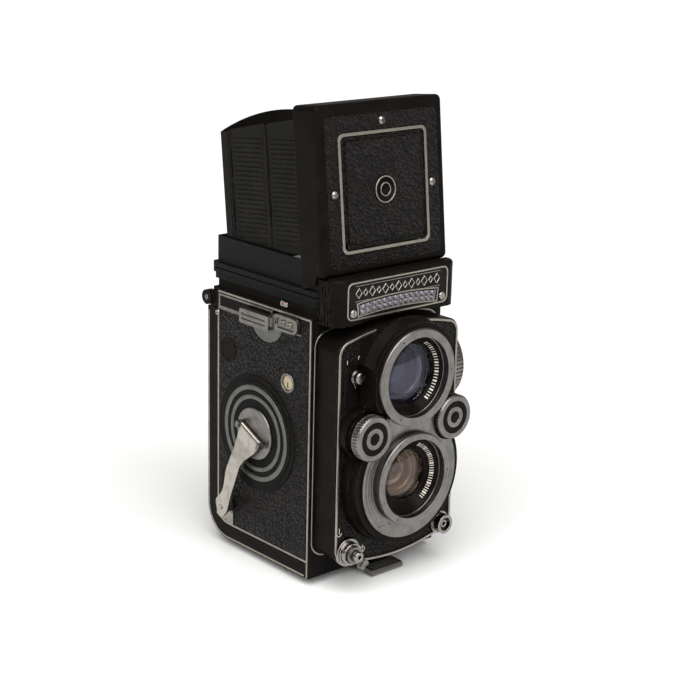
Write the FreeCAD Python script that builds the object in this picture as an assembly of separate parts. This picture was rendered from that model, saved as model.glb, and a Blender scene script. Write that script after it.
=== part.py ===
"""Twin lens reflex camera for 120 roll film, standing with its focusing hood raised.

Frame: millimetres, +Z up, lenses looking along -Y, winding crank on the -X side.
Origin: the mouth of the tripod socket, in the plane the camera stands on.
Each function below makes one sub-part or one group of identical ones, and returns its solids.
"""
import FreeCAD
import Part
import math
import os

V = FreeCAD.Vector
X, Y, Z = V(1, 0, 0), V(0, 1, 0), V(0, 0, 1)

# ---- driving dimensions -------------------------------------------------------------------------
HALF_W = 39.0            # half the width over the side covers
FRONT, REAR = -37.5, 37.5
BASE = 3.6               # underside of the film door: the feet and socket reach down to z = 0
TOP = 125.6              # top edge of the side covers
BAND = 7.0               # depth of the door's rim, seen from the side
SKIN = 1.6               # sheet thickness of the outer castings
GAP = 0.2                # running clearance between parts of different bodies
CASE_W = 37.2            # half the width of the inner casting
CASE_REAR = FRONT + 67.8
VIEW_Z, TAKE_Z = 98.8, 51.3      # heights of the viewing and taking lens axes
STANDARD_Y = FRONT - 14.1        # front face of the lens standard at infinity
STANDARD_HALF = 36.4
RING_Y = FRONT - 27.3            # front faces of both bayonets
FACE_Y = FRONT - 23.7            # chrome face round the taking lens
BORE_R, BORE_DEPTH = 18.4, 3.4   # clear bore of both bayonets, in front of the lens barrels
NOTCH_R = 20.2                   # radius at which the dimples sit in the bayonets' lips
TUBE_R = 20.6                    # outside of the bayonets' tubes behind their front lips
WHEEL_X, WHEEL_Z, WHEEL_R = 24.6, 75.2, 10.4
WHEEL_Y, WHEEL_T = FRONT - 26.5, 4.6
CRANK_Y, CRANK_Z = 0.5, 63.3
KNOB_Y, KNOB_Z, KNOB_R = FRONT + 18.0, 86.9, 19.0
SPOOL_LOW = (-21.0, 24.8)        # y, z of the supply spool's axis
SPOOL_HIGH = (17.5, 96.5)        # y, z of the take-up spool's axis
SPOOL_R, SPOOL_HALF = 12.4, 32.9
ROLLER_LOW, ROLLER_HIGH = (26.0, 17.8), (26.2, 83.2)     # y, z of the film rollers' axles
DOOR_PIN = (36.7, 120.5)         # y, z of the film door's hinge axis
HOOD_LEAN = 6.2                  # degrees that the raised hood leans back
LID_HINGE = (FRONT + 0.9, 147.8)
LID_HALF, LID_H, LID_DEPTH = 37.1, 74.0, 15.2
LEAF_W = 26.4                    # width of each folding side leaf
LEAF_X = 33.6                    # the leaves' plane, either side
CROWN_R = 27.4                   # seat of the crank's dial in the leather
DIAL_RINGS = ((22.8, 2.3), (18.2, 2.0))      # outer radius and width of the dial's bright rings
STUD, STUD_R = (FRONT + 66.9, 114.6), 1.5    # y, z and radius of the studs at the rims' ends
KNURLS = 60                      # grooves round the focus knob
CAP = (FRONT + 59.9, 98.0, 5.9)  # y, z, radius of the blank cap over the film-type switch
COUNTER = (FRONT + 16.1, 93.0, 4.6)          # y, z, radius of the film counter's window
SOCKET_R, SCREW_R = 7.2, 3.175   # tripod socket's outside, and the 1/4 inch screw's radius
MIRROR_C = 101.3                 # the mirror's plane is z = y + MIRROR_C
HINGE_X = -HALF_W - 3.3          # the crank arm's hinge line stands off the side
BAR = V(0, math.cos(math.radians(25)), math.sin(math.radians(25)))    # along the crank's hinge
ARM = V(0, math.sin(math.radians(25)), -math.cos(math.radians(25)))   # from hinge to handle
ARM_LEN = 45.4
TABLE_Z, TABLE_R = 96.0, 10.9    # height and radius of the round table plate on the door's back
PLATE_POSTS = (38.0, 64.0)       # heights of the pressure plate's two posts
LATCH_PIN = (-27.5, 2.1)         # y, z of the door latch's hinge
RELEASE = (-28.6, 19.4)          # x, z of the shutter release
FLASH = (28.6, 19.4)             # x, z of the flash terminal
COLLARS = ((*RELEASE, 6.6), (*FLASH, 5.4))   # x, z, radius of their bright collars
SYNC = (-27.2, 101.6)            # x, z of the flash selector
TOWER_Y = STANDARD_Y - 11.1      # front of the black housing round the viewing lens
ARC_RADII = (26.9, 25.2, 23.4)   # outer radii of the three arcs cut in the face plate
SHUTTER_Y = RING_Y + 21.6        # front of the shutter unit inside the taking lens's barrel
METER_Y = FRONT - 12.3           # front face of the light meter's housing
LID_Y = LID_HINGE[0] - 5.6       # outer face of the lid before leaning
LID_Z = LID_HINGE[1] - 4.6       # bottom edge of that face before leaning
LID_SCREWS = ((0.0, 65.2), (-28.9, 35.6), (28.9, 35.6))
PANEL_AXIS = (LID_Y + 2.2, LID_Z + 12.4)     # y, z of the sports-finder panel's hinge before leaning
MAG_AXIS = (LID_Y + 3.9, LID_Z + 58.0)       # y, z of the magnifier's hinge before leaning
HINGE_A = LID_Y + 12.4           # y of the leaves' front hinge before leaning
HINGE_B = HINGE_A + LEAF_W       # their middle hinge
HINGE_C = HINGE_B + LEAF_W       # their hinge on the rear panel
LEAF_LOW = LID_Z + 9.2
LEAF_TOPS = (LID_Z + 68.4, LID_Z + 65.6, LID_Z + 62.6)   # leaf heights at the three hinges
LEAF_R, PIN_R = 0.8, 0.4         # radii of the leaves' knuckles and hinge pins
SHEET = 0.2                      # half the leaves' thickness
EDGE = 1.2                       # from a hinge line to the edge of the sheet
RIB_COUNT, RIB_PITCH, RIB_R = 23, 2.1, 0.8


# ---- helpers ------------------------------------------------------------------------------------
def box(x0, x1, y0, y1, z0, z1):
    return Part.makeBox(x1 - x0, y1 - y0, z1 - z0, V(x0, y0, z0))


def cyl(r, length, at, axis):
    return Part.makeCylinder(r, length, V(*at), axis)


def cyl_x(r, x0, x1, y, z):
    return cyl(r, x1 - x0, (x0, y, z), X)


def cyl_y(r, y0, y1, x, z):
    return cyl(r, y1 - y0, (x, y0, z), Y)


def cyl_z(r, z0, z1, x, y):
    return cyl(r, z1 - z0, (x, y, z0), Z)


def tube_y(r_out, r_in, y0, y1, x, z):
    return cyl_y(r_out, y0, y1, x, z).cut(cyl_y(r_in, y0 - 1, y1 + 1, x, z))


def tube_x(r_out, r_in, x0, x1, y, z):
    return cyl_x(r_out, x0, x1, y, z).cut(cyl_x(r_in, x0 - 1, x1 + 1, y, z))


def face(edges):
    return Part.Face(Part.Wire(edges))


def poly(points, push):
    """A closed outline of straight edges, extruded along push."""
    pts = [V(*p) for p in points]
    return Part.Face(Part.makePolygon(pts + pts[:1])).extrude(push)


def rounded_rect(a0, a1, b0, b1, r, place):
    """Edges of a rectangle with corner radius r; place(a, b) gives a point in space."""
    k = r * (1 - math.sqrt(0.5))
    corners = [
        ((a1 - r, b0), (a1 - k, b0 + k), (a1, b0 + r)),
        ((a1, b1 - r), (a1 - k, b1 - k), (a1 - r, b1)),
        ((a0 + r, b1), (a0 + k, b1 - k), (a0, b1 - r)),
        ((a0, b0 + r), (a0 + k, b0 + k), (a0 + r, b0)),
    ]
    edges = []
    for n, (p, m, q) in enumerate(corners):
        edges.append(Part.Arc(place(*p), place(*m), place(*q)).toShape())
        after = corners[(n + 1) % 4][0]
        edges.append(Part.LineSegment(place(*q), place(*after)).toShape())
    return edges


def slab_y(x0, x1, z0, z1, r, y0, y1):
    """A plate facing along Y with rounded corners."""
    edges = rounded_rect(x0, x1, z0, z1, r, lambda a, b: V(a, y0, b))
    return face(edges).extrude(V(0, y1 - y0, 0))


def slab_x(y0, y1, z0, z1, r, x0, x1):
    edges = rounded_rect(y0, y1, z0, z1, r, lambda a, b: V(x0, a, b))
    return face(edges).extrude(V(x1 - x0, 0, 0))


def slab_z(x0, x1, y0, y1, r, z0, z1):
    edges = rounded_rect(x0, x1, y0, y1, r, lambda a, b: V(a, b, z0))
    return face(edges).extrude(V(0, 0, z1 - z0))


def fuse(first, *others):
    out = first
    for o in others:
        out = out.fuse(o)
    return out.removeSplitter()


def cut(shape, *tools):
    for t in tools:
        shape = shape.cut(t)
    return shape


def mirror_x(shape):
    return shape.mirror(V(0, 0, 0), X)


def lean(shape):
    """Turns a hood part, drawn upright over the lid's hinge line, to the raised hood's lean."""
    shape = shape.copy()
    shape.rotate(V(0, *LID_HINGE), X, -HOOD_LEAN)
    return shape


def screw(at, axis, r=1.6, h=0.9, slot=0.45):
    """A slotted screw head whose bevelled face stands h proud of the point at."""
    bevel = h * 0.4
    low = Part.makeCylinder(r, h - bevel, V(*at), axis)
    head = low.fuse(Part.makeCone(r, r - bevel, bevel, V(*at) + axis * (h - bevel), axis))
    groove = Part.makeBox(slot, 2 * r + 1, 1, V(-slot / 2, -r - 0.5, -0.35))
    groove.Placement = FreeCAD.Placement(V(*at) + axis * h, FreeCAD.Rotation(Z, axis)).multiply(
        groove.Placement)
    return head.cut(groove)


# ---- body: casting, covers and what is fixed inside ---------------------------------------------
def body_casting():
    """Box casting, open behind and under the supply spool, with a low neck for the finder hood."""
    rear = CASE_REAR
    outer = box(-CASE_W, CASE_W, FRONT, rear, BASE + BAND, TOP)
    cavity = box(-35.4, 35.4, FRONT + 2, rear + 1, BASE + BAND + SKIN, TOP - 2)
    apron = box(-CASE_W, CASE_W, FRONT, FRONT + 2, BASE, BASE + BAND)
    deck = box(-CASE_W, CASE_W, rear, REAR - 2, TOP - 2, TOP)
    neck = slab_z(-35.8, 35.8, FRONT + 0.6, REAR - 2, 3, TOP, 129.6)
    shaft = box(-29, 29, FRONT + 6, FRONT + 64, TOP - 3, 140)
    trap = standard_outline(2.4, FRONT - 10, FRONT)
    trap_hole = standard_outline(3.6, FRONT - 11, FRONT)
    trap_hole = trap_hole.fuse(cyl_y(3.6, FRONT - 11, FRONT - 6, *RELEASE))
    loading = box(-35.4, 35.4, FRONT + 2, -8.7, BASE, BASE + BAND + SKIN + 1)
    corner = box(-CASE_W - 1, CASE_W + 1, 22.5, rear + 1, BASE, BASE + BAND + 8).cut(
        cyl_x(8, -CASE_W - 1, CASE_W + 1, 22.5, BASE + BAND + 8))
    holes = [cyl_y(18.5, FRONT - 1, FRONT + 3, 0, z) for z in (VIEW_Z, TAKE_Z)]
    pins = [cyl_x(2.6, 30, 40, y, z) for y, z in (SPOOL_LOW, SPOOL_HIGH)]
    axles = [cyl_x(1.06, -37, 37, y, z) for y, z in (ROLLER_LOW, ROLLER_HIGH)]
    shafts = [cyl_x(3.15, -40, -30, CRANK_Y, CRANK_Z), cyl_x(3.15, 30, 40, KNOB_Y, KNOB_Z)]
    body = fuse(outer.cut(cavity), apron, deck, neck, trap.cut(trap_hole))
    body = cut(body, shaft, loading, corner, *holes, *pins, *shafts, *axles)
    return fuse(body, mirror_shelf(), film_gate())


def side_outline(inset, x0, x1):
    """The side cover's outline, drawn in by inset, between x0 and x1; its front edge reaches the base."""
    low, rear, r = BASE + BAND + 0.1 + inset, FRONT + 68 - inset, 8 - inset
    k = r * (1 - math.sqrt(0.5))
    front, top = FRONT + inset * 1.2, TOP - inset
    pts = [V(x0, front, low), V(x0, rear - r, low)]
    bend = [V(x0, rear - k, low + k), V(x0, rear, low + r)]
    ends = [V(x0, rear, top), V(x0, front, top)]
    edges = [
        Part.LineSegment(pts[0], pts[1]).toShape(),
        Part.Arc(pts[1], bend[0], bend[1]).toShape(),
        Part.LineSegment(bend[1], ends[0]).toShape(),
        Part.LineSegment(ends[0], ends[1]).toShape(),
        Part.LineSegment(ends[1], pts[0]).toShape(),
    ]
    return face(edges).extrude(V(x1 - x0, 0, 0))


def side_cover():
    """Pressed metal cover with a raised rim round a sunk field for the leather, and the door's hinge lug."""
    plate = side_outline(0, -HALF_W, -CASE_W)
    field = side_outline(1.6, -HALF_W - 1, -HALF_W + 0.7)
    strip = box(-HALF_W, -CASE_W, FRONT, FRONT + 1.9, BASE, BASE + BAND + 1)
    y, z = DOOR_PIN
    tongue = box(-HALF_W, -CASE_W, FRONT + 67, y, z - 3.5, z + 3.5)
    lug = cyl_x(3.5, -HALF_W - 1.6, -CASE_W, y, z)
    return cut(fuse(plate.cut(field), strip, tongue, lug), cyl_x(1.3, -50, -30, y, z))


def crank_side_cover():
    cover = side_cover()
    shaft = cyl_x(3.15, -50, -30, CRANK_Y, CRANK_Z)
    y, z, r = CAP
    cap = cyl_x(r - 0.05, -HALF_W - 0.35, -HALF_W + 0.8, y, z)
    cap = cap.cut(cyl_x(r - 1.0, -HALF_W - 1, -HALF_W - 0.05, y, z))
    window = cyl_x(COUNTER[2] - 1.2, -50, -HALF_W + 1.2, COUNTER[0], COUNTER[1])
    return cut(fuse(cover, cap), shaft, window)


def focus_side_cover():
    """The other cover has two raised collars that the spool knobs slide in."""
    pins = (SPOOL_LOW, SPOOL_HIGH)
    collars = [cyl_x(6.8, HALF_W - 0.9, HALF_W + 1.0, y, z) for y, z in pins]
    holes = [cyl_x(2.06, 30, 50, y, z) for y, z in pins]
    return cut(fuse(mirror_x(side_cover()), *collars), cyl_x(3.15, 30, 50, KNOB_Y, KNOB_Z), *holes)


def crank_side_leather():
    sheet = side_outline(1.65, -HALF_W - 0.15, -HALF_W + 0.7)
    y, z, r = CAP
    holes = [
        cyl_x(CROWN_R, -50, -30, CRANK_Y, CRANK_Z),
        cyl_x(r, -50, -30, y, z),
        cyl_x(COUNTER[2], -50, -30, COUNTER[0], COUNTER[1]),
        cyl_x(STUD_R + 0.05, -50, -30, *STUD),
        strap_seat(-50, -30),
        rest_corner(-50, -30),
    ]
    return cut(sheet, *holes)


def focus_side_leather():
    sheet = mirror_x(side_outline(1.65, -HALF_W - 0.15, -HALF_W + 0.7))
    holes = [cyl_x(6.9, 30, 50, y, z) for y, z in (SPOOL_LOW, SPOOL_HIGH)]
    holes.append(cyl_x(KNOB_R + 1.2, 30, 50, KNOB_Y, KNOB_Z))
    holes.append(cyl_x(STUD_R + 0.05, 30, 50, *STUD))
    holes.append(strap_seat(30, 50))
    return cut(sheet, *holes)


def strap_seat(x0, x1):
    """Bare metal round the strap lug: a band under the top edge and a half disc below it."""
    band = box(x0, x1, FRONT + 7.4, FRONT + 66.4, 116.4, TOP - 1.6)
    return fuse(band, cyl_x(12.4, x0, x1, FRONT + 32.0, 120.4).common(
        box(x0, x1, FRONT, REAR, 100, 117)))


def rest_corner(x0, x1):
    """Bare metal corner below the folded crank's tip."""
    corner = box(x0, x1, 17.6, FRONT + 66.4, BASE, 22.4)
    round_off = box(x0, x1, 17.0, 28.0, 17.0, 23.0).cut(cyl_x(5.5, x0, x1, 22.6, 16.8))
    return corner.cut(round_off)


def tripod_socket():
    """Turned bush let into the door's floor, with a blind 1/4 inch hole."""
    boss = cyl_z(SOCKET_R, 0, BASE + BAND - 1.2, 0, 0)
    boss = boss.makeChamfer(0.5, [e for e in boss.Edges if e.CenterOfMass.z < 0.01 and e.Length > 40])
    return boss.cut(cyl_z(SCREW_R, -1, 7.6, 0, 0))


def film_gate():
    """Plate with the 56 mm square opening, and the two rails that the film slides on."""
    plate = box(-35.4, 35.4, 21.5, 23, 20.9, 80.2)
    plate = plate.cut(box(-28, 28, 20, 30, TAKE_Z - 28, TAKE_Z + 27))
    rails = [box(s * 30.2 - 1.1, s * 30.2 + 1.1, 23, 24.2, 20.9, 80.2) for s in (-1, 1)]
    return fuse(plate, *rails)


def film_roller(y, z):
    """Guide roller for the film, on two stub axles that turn in the casting's walls."""
    return fuse(cyl_x(2.4, -31.5, 31.5, y, z), cyl_x(1.0, -36.4, 36.4, y, z))


def slanted(t0, t1, half, y0, y1):
    """A plate parallel to the mirror, from t0 to t1 below its face."""
    s = math.sqrt(0.5)
    def at(y, t):
        return (-half, y + t * s, y + MIRROR_C - t * s)
    return poly([at(y0, t0), at(y1, t0), at(y1, t1), at(y0, t1)], V(2 * half, 0, 0))


def mirror():
    return slanted(0, 1.4, 29, -25, 17)


def mirror_shelf():
    """Sheet that carries the mirror and parts the finder from the film."""
    return slanted(1.4, 2.6, 35.4, -27, 19)


def spool(y, z):
    """A 120 film spool: core, two flanges, and a blind slot end for its centre pin."""
    core = cyl_x(5.8, -SPOOL_HALF, SPOOL_HALF, y, z)
    flanges = [cyl_x(SPOOL_R, s - 0.6, s + 0.6, y, z) for s in (-SPOOL_HALF + 0.6, SPOOL_HALF - 0.6)]
    ends = [cyl_x(2.2, s - 2.5, s + 2.5, y, z) for s in (-SPOOL_HALF + 1.5, SPOOL_HALF - 1.5)]
    return cut(fuse(core, *flanges), *ends, box(-26, 26, y - 7, y + 7, z - 0.5, z + 0.5))


def spool_knob(y, z):
    """Pull-out knob whose pin holds the spool's end."""
    head = cyl_x(6.4, HALF_W + 1.4, HALF_W + 5.6, y, z)
    head = head.makeFillet(0.8, [head.Edges[0], head.Edges[2]])
    grooves = [cyl_x(0.5, HALF_W + 1, HALF_W + 5, y + 6.5 * math.cos(a), z + 6.5 * math.sin(a))
               for a in [math.radians(20 * k) for k in range(18)]]
    stem = cyl_x(2.0, SPOOL_HALF - 2.5, HALF_W + 1.6, y, z)
    return fuse(cut(head, *grooves), stem)


def door_hinge_pin():
    y, z = DOOR_PIN
    return cyl_x(1.2, -HALF_W - 1.6, HALF_W + 1.6, y, z)


# ---- crank side ---------------------------------------------------------------------------------
def crank_dial():
    """Black stepped disc, with two grooves for the bright rings, that the crank's hub turns in."""
    x1 = -HALF_W + 0.7
    disc = fuse(cyl_x(CROWN_R, -HALF_W - 0.5, x1, CRANK_Y, CRANK_Z),
                cyl_x(24.8, -HALF_W - 0.9, x1, CRANK_Y, CRANK_Z))
    grooves = [tube_x(r, r - w, -HALF_W - 2, -HALF_W - 0.5, CRANK_Y, CRANK_Z) for r, w in DIAL_RINGS]
    bore = cyl_x(3.15, -50, -30, CRANK_Y, CRANK_Z)
    seat = cyl_x(12.6, -50, -HALF_W - 0.2, CRANK_Y, CRANK_Z)
    return cut(disc, *grooves, bore, seat)


def on_crank(along, across, out):
    """A point on the crank: along the arm, across it, and outwards from the hinge line."""
    return V(HINGE_X - out, CRANK_Y, CRANK_Z) + ARM * along + BAR * across


def crank_hub():
    """Bright boss with two ears that hold the arm's hinge pin, and the shaft into the winding gear."""
    boss = cyl_x(12.4, -HALF_W - 1.9, -HALF_W - 0.25, CRANK_Y, CRANK_Z)
    boss = boss.makeFillet(0.7, [e for e in boss.Edges if e.Length > 60 and e.CenterOfMass.x < -HALF_W - 1.8])
    shaft = cyl_x(3.1, -HALF_W - 0.5, -33.9, CRANK_Y, CRANK_Z)
    ears = []
    for s in (-1, 1):
        base = on_crank(0, s * 8.4, 0)
        ear = Part.makeCylinder(1.5, 1.8, base - BAR * 0.9, BAR)
        block = Part.makeBox(1.8, 3.0, 2.6)
        block.Placement = FreeCAD.Placement(V(0, 0, 0), FreeCAD.Rotation(BAR, ARM, V(1, 0, 0), "XYZ"))
        block.translate(on_crank(-1.5, s * 8.4 - 0.9, 0))
        ears.append(ear.fuse(block).cut(box(-HALF_W - 1.6, -30, -50, 50, 0, 150)))
    pin = Part.makeCylinder(0.8, 18.6, on_crank(0, -9.3, 0), BAR)
    return fuse(boss, shaft, *ears, pin)


def crank_arm():
    """Curved flat lever: a barrel on the hinge pin, a waist, and a notched tip above the handle."""
    barrel = Part.makeCylinder(1.35, 14.6, on_crank(0, -7.3, 0), BAR)
    rise = [(1.0, -0.7), (7.5, -0.7), (17, 1.3), (51, 1.3), (51, 2.9), (16.2, 2.9), (7.0, 0.9), (1.0, 0.9)]
    side = Part.Face(Part.makePolygon([on_crank(a, -9, o) for a, o in rise + rise[:1]])).extrude(BAR * 18)
    left = [(0.6, -6.6), (6.0, -6.4), (13, -3.4), (24, -3.0), (38, -3.9), (45, -4.4), (50, -2.2)]
    right = [(50, 1.0), (47.5, 2.2), (45, 4.2), (39, 3.0), (26, 4.6), (13, 5.2), (6.0, 7.0), (0.6, 6.6)]
    low = [on_crank(a, c, -3) for a, c in left]
    high = [on_crank(a, c, -3) for a, c in right]
    curve_a, curve_b = Part.BSplineCurve(), Part.BSplineCurve()
    curve_a.interpolate(low)
    curve_b.interpolate(high)
    edges = [curve_a.toShape(), Part.LineSegment(low[-1], high[0]).toShape(),
             curve_b.toShape(), Part.LineSegment(high[-1], low[0]).toShape()]
    plan = face(edges).extrude(V(-8, 0, 0))
    lever = fuse(side.common(plan), barrel)
    bore = Part.makeCylinder(0.86, 20, on_crank(0, -10, 0), BAR)
    hole = Part.makeCylinder(1.1, 8, on_crank(ARM_LEN, 0, -2), -X)
    return cut(lever, bore, hole)


def crank_handle():
    """Finger knob on the arm's inner side, riveted through the arm's tip."""
    centre = on_crank(ARM_LEN, 0, 0)
    foot = Part.makeCylinder(3.3, 3.6, V(-HALF_W - 0.6, centre.y, centre.z), -X)
    foot = foot.makeFillet(0.8, [foot.Edges[0], foot.Edges[2]])
    rivet = Part.makeCylinder(1.04, 3.2, V(-HALF_W - 3.6, centre.y, centre.z), -X)
    return fuse(foot, rivet)


def counter_window():
    y, z, r = COUNTER
    ring = tube_x(r - 0.05, r - 1.15, -HALF_W - 0.5, -HALF_W + 0.7, y, z)
    return ring.makeFillet(0.3, [e for e in ring.Edges if e.CenterOfMass.x < -HALF_W - 0.45])


def strap_lugs():
    """Strap fitting of each side: a bar with bright edges, a ribbed spring catch and a two-screw plate."""
    x0 = -HALF_W + 0.7
    bar = box(-HALF_W - 0.5, x0, FRONT + 27, FRONT + 66.2, 117.2, TOP - 1.7)
    bar = bar.cut(box(-HALF_W - 1, -HALF_W - 0.1, FRONT + 28, FRONT + 65.2, 118.1, TOP - 2.6))
    catch = slab_x(FRONT + 25.5, FRONT + 46, 115.2, 121.9, 1.0, -HALF_W - 4.2, -HALF_W - 0.5)
    ribs = [box(-HALF_W - 5, -HALF_W - 3.6, FRONT + 27.5, FRONT + 44.6, z, z + 1.0) for z in (117.0, 119.2)]
    plate = slab_x(FRONT + 7.6, FRONT + 24.8, 116.7, 123.9, 3.4, -HALF_W - 2.4, x0)
    field = slab_x(FRONT + 9.0, FRONT + 22.6, 117.9, 122.7, 2.3, -HALF_W - 3, -HALF_W - 1.5)
    bridge = box(-HALF_W - 3.4, -HALF_W - 0.5, FRONT + 24, FRONT + 26, 117.6, 121.6)
    heads = [screw((-HALF_W - 1.5, FRONT + y, 120.3), -X, r=1.5, h=0.7) for y in (13.4, 18.0)]
    lug = fuse(bar, cut(catch, *ribs), plate.cut(field), bridge, *heads)
    return [lug, mirror_x(lug)]


# ---- film door ----------------------------------------------------------------------------------
def door_band(inset, x0, x1):
    """The L-shaped side view of the door between its outer face drawn in by inset and its inner edge."""
    rear, low, top = REAR - inset, BASE + inset, 116.3
    r_out, r_in = 15 - inset, 8
    ko, ki = r_out * (1 - math.sqrt(0.5)), r_in * (1 - math.sqrt(0.5))
    in_y, in_z = REAR - BAND + GAP, BASE + BAND - GAP
    p = [V(x0, *q) for q in (
        (FRONT + 2.1, low), (rear - r_out, low), (rear - ko, low + ko), (rear, low + r_out), (rear, top),
        (in_y, top), (in_y, in_z + r_in), (in_y - ki, in_z + ki), (in_y - r_in, in_z), (FRONT + 2.1, in_z))]
    edges = [
        Part.LineSegment(p[0], p[1]).toShape(), Part.Arc(p[1], p[2], p[3]).toShape(),
        Part.LineSegment(p[3], p[4]).toShape(), Part.LineSegment(p[4], p[5]).toShape(),
        Part.LineSegment(p[5], p[6]).toShape(), Part.Arc(p[6], p[7], p[8]).toShape(),
        Part.LineSegment(p[8], p[9]).toShape(), Part.LineSegment(p[9], p[0]).toShape()]
    return face(edges).extrude(V(x1 - x0, 0, 0))


def back_door():
    """One tray that closes both the back and the bottom, with its hinge barrel along the top."""
    whole = door_band(0, -HALF_W, HALF_W)
    hollow = door_band(SKIN, -HALF_W + SKIN, HALF_W - SKIN)
    y, z = DOOR_PIN
    tray = whole.cut(hollow)
    head = box(-35.4, 35.4, REAR - SKIN, REAR, 116, z)
    barrel = cyl_x(2.7, -35.4, 35.4, y, z)
    lip = box(-HALF_W + SKIN, HALF_W - SKIN, FRONT + 2.1, FRONT + 3.4, BASE, BASE + BAND - GAP)
    sleeves = [tube_y(4.2, 3.06, 30.5, REAR - SKIN / 2, 0, z) for z in PLATE_POSTS]
    table = cyl_y(TABLE_R, REAR - SKIN / 2, REAR + 0.8, 0, TABLE_Z)
    table = table.cut(tube_y(9.6, 8.9, REAR + 0.5, REAR + 2, 0, TABLE_Z))
    whole = fuse(tray, head, barrel, lip, table, *sleeves, *latch_ears())
    return cut(whole, cyl_z(SOCKET_R, 0, 8, 0, 0), cyl_x(1.26, -50, 50, y, z))


def back_door_leather():
    sheet = slab_y(-HALF_W + 1.8, HALF_W - 1.8, 20.5, 113.5, 1.2, REAR, REAR + 0.6)
    return sheet.cut(cyl_y(TABLE_R, REAR - 1, REAR + 2, 0, TABLE_Z))


def pressure_plate():
    """Plate that holds the film flat in the gate, on two sprung posts that slide in the door."""
    plate = slab_y(-30.5, 30.5, 22.5, 79.5, 2, 25.2, 26.6)
    return fuse(plate, *[cyl_y(3.0, 26.6, 34.2, 0, z) for z in PLATE_POSTS])


def door_feet():
    """Four low round studs that the camera stands on."""
    out = []
    for x in (-26, 26):
        for y in (-24, 22):
            foot = cyl_z(3.6, 0, BASE, x, y)
            sole = [e for e in foot.Edges if e.CenterOfMass.z < 0.01 and e.Length > 20]
            out.append(foot.makeFillet(0.6, sole))
    return out


def door_latch():
    """Flat bright lever under the door, with a ribbed thumb lip in front of the camera."""
    y, z = LATCH_PIN
    bar = fuse(box(-8.6, 8.6, -47.6, y - 2.2, 1.5, 2.7), box(-6.5, 6.5, y - 3, y, 1.5, 2.7))
    barrel = cyl_x(1.3, -6.4, 6.4, y, z)
    nose = poly([(-9.4, -48.5, 0.6), (-9.4, -46.2, 0.9), (-9.4, -40.5, 1.5), (-9.4, -40.5, 3.3),
                 (-9.4, -45.5, 3.4), (-9.4, -48.3, 3.2), (-9.4, -49.2, 1.8)], V(18.8, 0, 0))
    ribs = [box(-8.0, 8.0, yy, yy + 0.5, 3.05, 4) for yy in (-47.4, -46.2, -45.0, -43.8, -42.6)]
    return cut(fuse(bar, barrel, cut(nose, *ribs)), cyl_x(0.86, -10, 10, y, z))


def latch_ears():
    """Pin and two ears under the door that carry the latch."""
    y, z = LATCH_PIN
    pin = cyl_x(0.8, -8.6, 8.6, y, z)
    ears = [box(s * 7.8 - 0.9, s * 7.8 + 0.9, y - 1.4, y + 1.8, 0.8, BASE + 0.2) for s in (-1, 1)]
    return [pin] + ears


# ---- lens standard ------------------------------------------------------------------------------
def standard_outline(inset, y0, y1):
    """The standard's front view, drawn in by inset: straight sides, bowed top and bottom, round corners."""
    half = STANDARD_HALF - inset
    t_side, t_mid, b_side, b_mid = 111.4 - inset * 0.6, 121.9 - inset, 20.2 + inset * 0.6, 10.4 + inset
    t_in, b_in = 31.0 - inset, 30.0 - inset
    top = [V(half, y0, t_side), V(half - 1.2, y0, t_side + 4.0), V(t_in, y0, 118.2 - inset)]
    low = [V(b_in, y0, 14.5 + inset), V(half - 1.6, y0, b_side - 3.2), V(half, y0, b_side)]

    def flip(v):
        return V(-v.x, v.y, v.z)
    edges = [
        Part.LineSegment(low[2], top[0]).toShape(), Part.Arc(*top).toShape(),
        Part.Arc(top[2], V(0, y0, t_mid), flip(top[2])).toShape(),
        Part.Arc(*[flip(p) for p in reversed(top)]).toShape(),
        Part.LineSegment(flip(top[0]), flip(low[2])).toShape(),
        Part.Arc(*[flip(p) for p in reversed(low)]).toShape(),
        Part.Arc(flip(low[0]), V(0, y0, b_mid), low[0]).toShape(), Part.Arc(*low).toShape()]
    return face(edges).extrude(V(0, y1 - y0, 0))


def standard_housing():
    """Front plate and skirt: slides over the casting's light trap when the camera is focused."""
    shell = standard_outline(0, STANDARD_Y, FRONT - 1.0)
    hollow = standard_outline(SKIN, STANDARD_Y + 2.2, FRONT)
    rail = standard_outline(1.7, STANDARD_Y - 1, STANDARD_Y + 0.5)
    holes = [cyl_y(TUBE_R + 0.1, -60, -40, 0, z) for z in (VIEW_Z, TAKE_Z)]
    small = [cyl_y(2.3, -60, -40, RELEASE[0], RELEASE[1]), cyl_y(1.3, -60, -40, SYNC[0], SYNC[1])]
    plate = sync_plate_outline(STANDARD_Y - 0.7, STANDARD_Y + 2.3)
    seats = [cyl_y(r, STANDARD_Y - 1, STANDARD_Y + 0.5, x, z) for x, z, r in COLLARS]
    seats.append(lens_block_plan(STANDARD_Y - 1, STANDARD_Y + 0.5, 0))
    return cut(fuse(cut(shell, hollow, rail), plate), *seats, *holes, *small)


def standard_leather():
    """Leather let into the front plate, round the lens block."""
    sheet = standard_outline(1.8, STANDARD_Y - 0.1, STANDARD_Y + 0.5)
    block = lens_block_plan(STANDARD_Y - 2, STANDARD_Y + 2, 0.2)
    small = [cyl_y(r + 0.2, -60, -40, x, z) for x, z, r in COLLARS]
    return cut(sheet, block, *small, sync_plate_outline(-60, -40))


def sync_plate_outline(y0, y1):
    return slab_y(-32.8, -23.4, 86.5, 107.5, 3.5, y0, y1)


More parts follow.
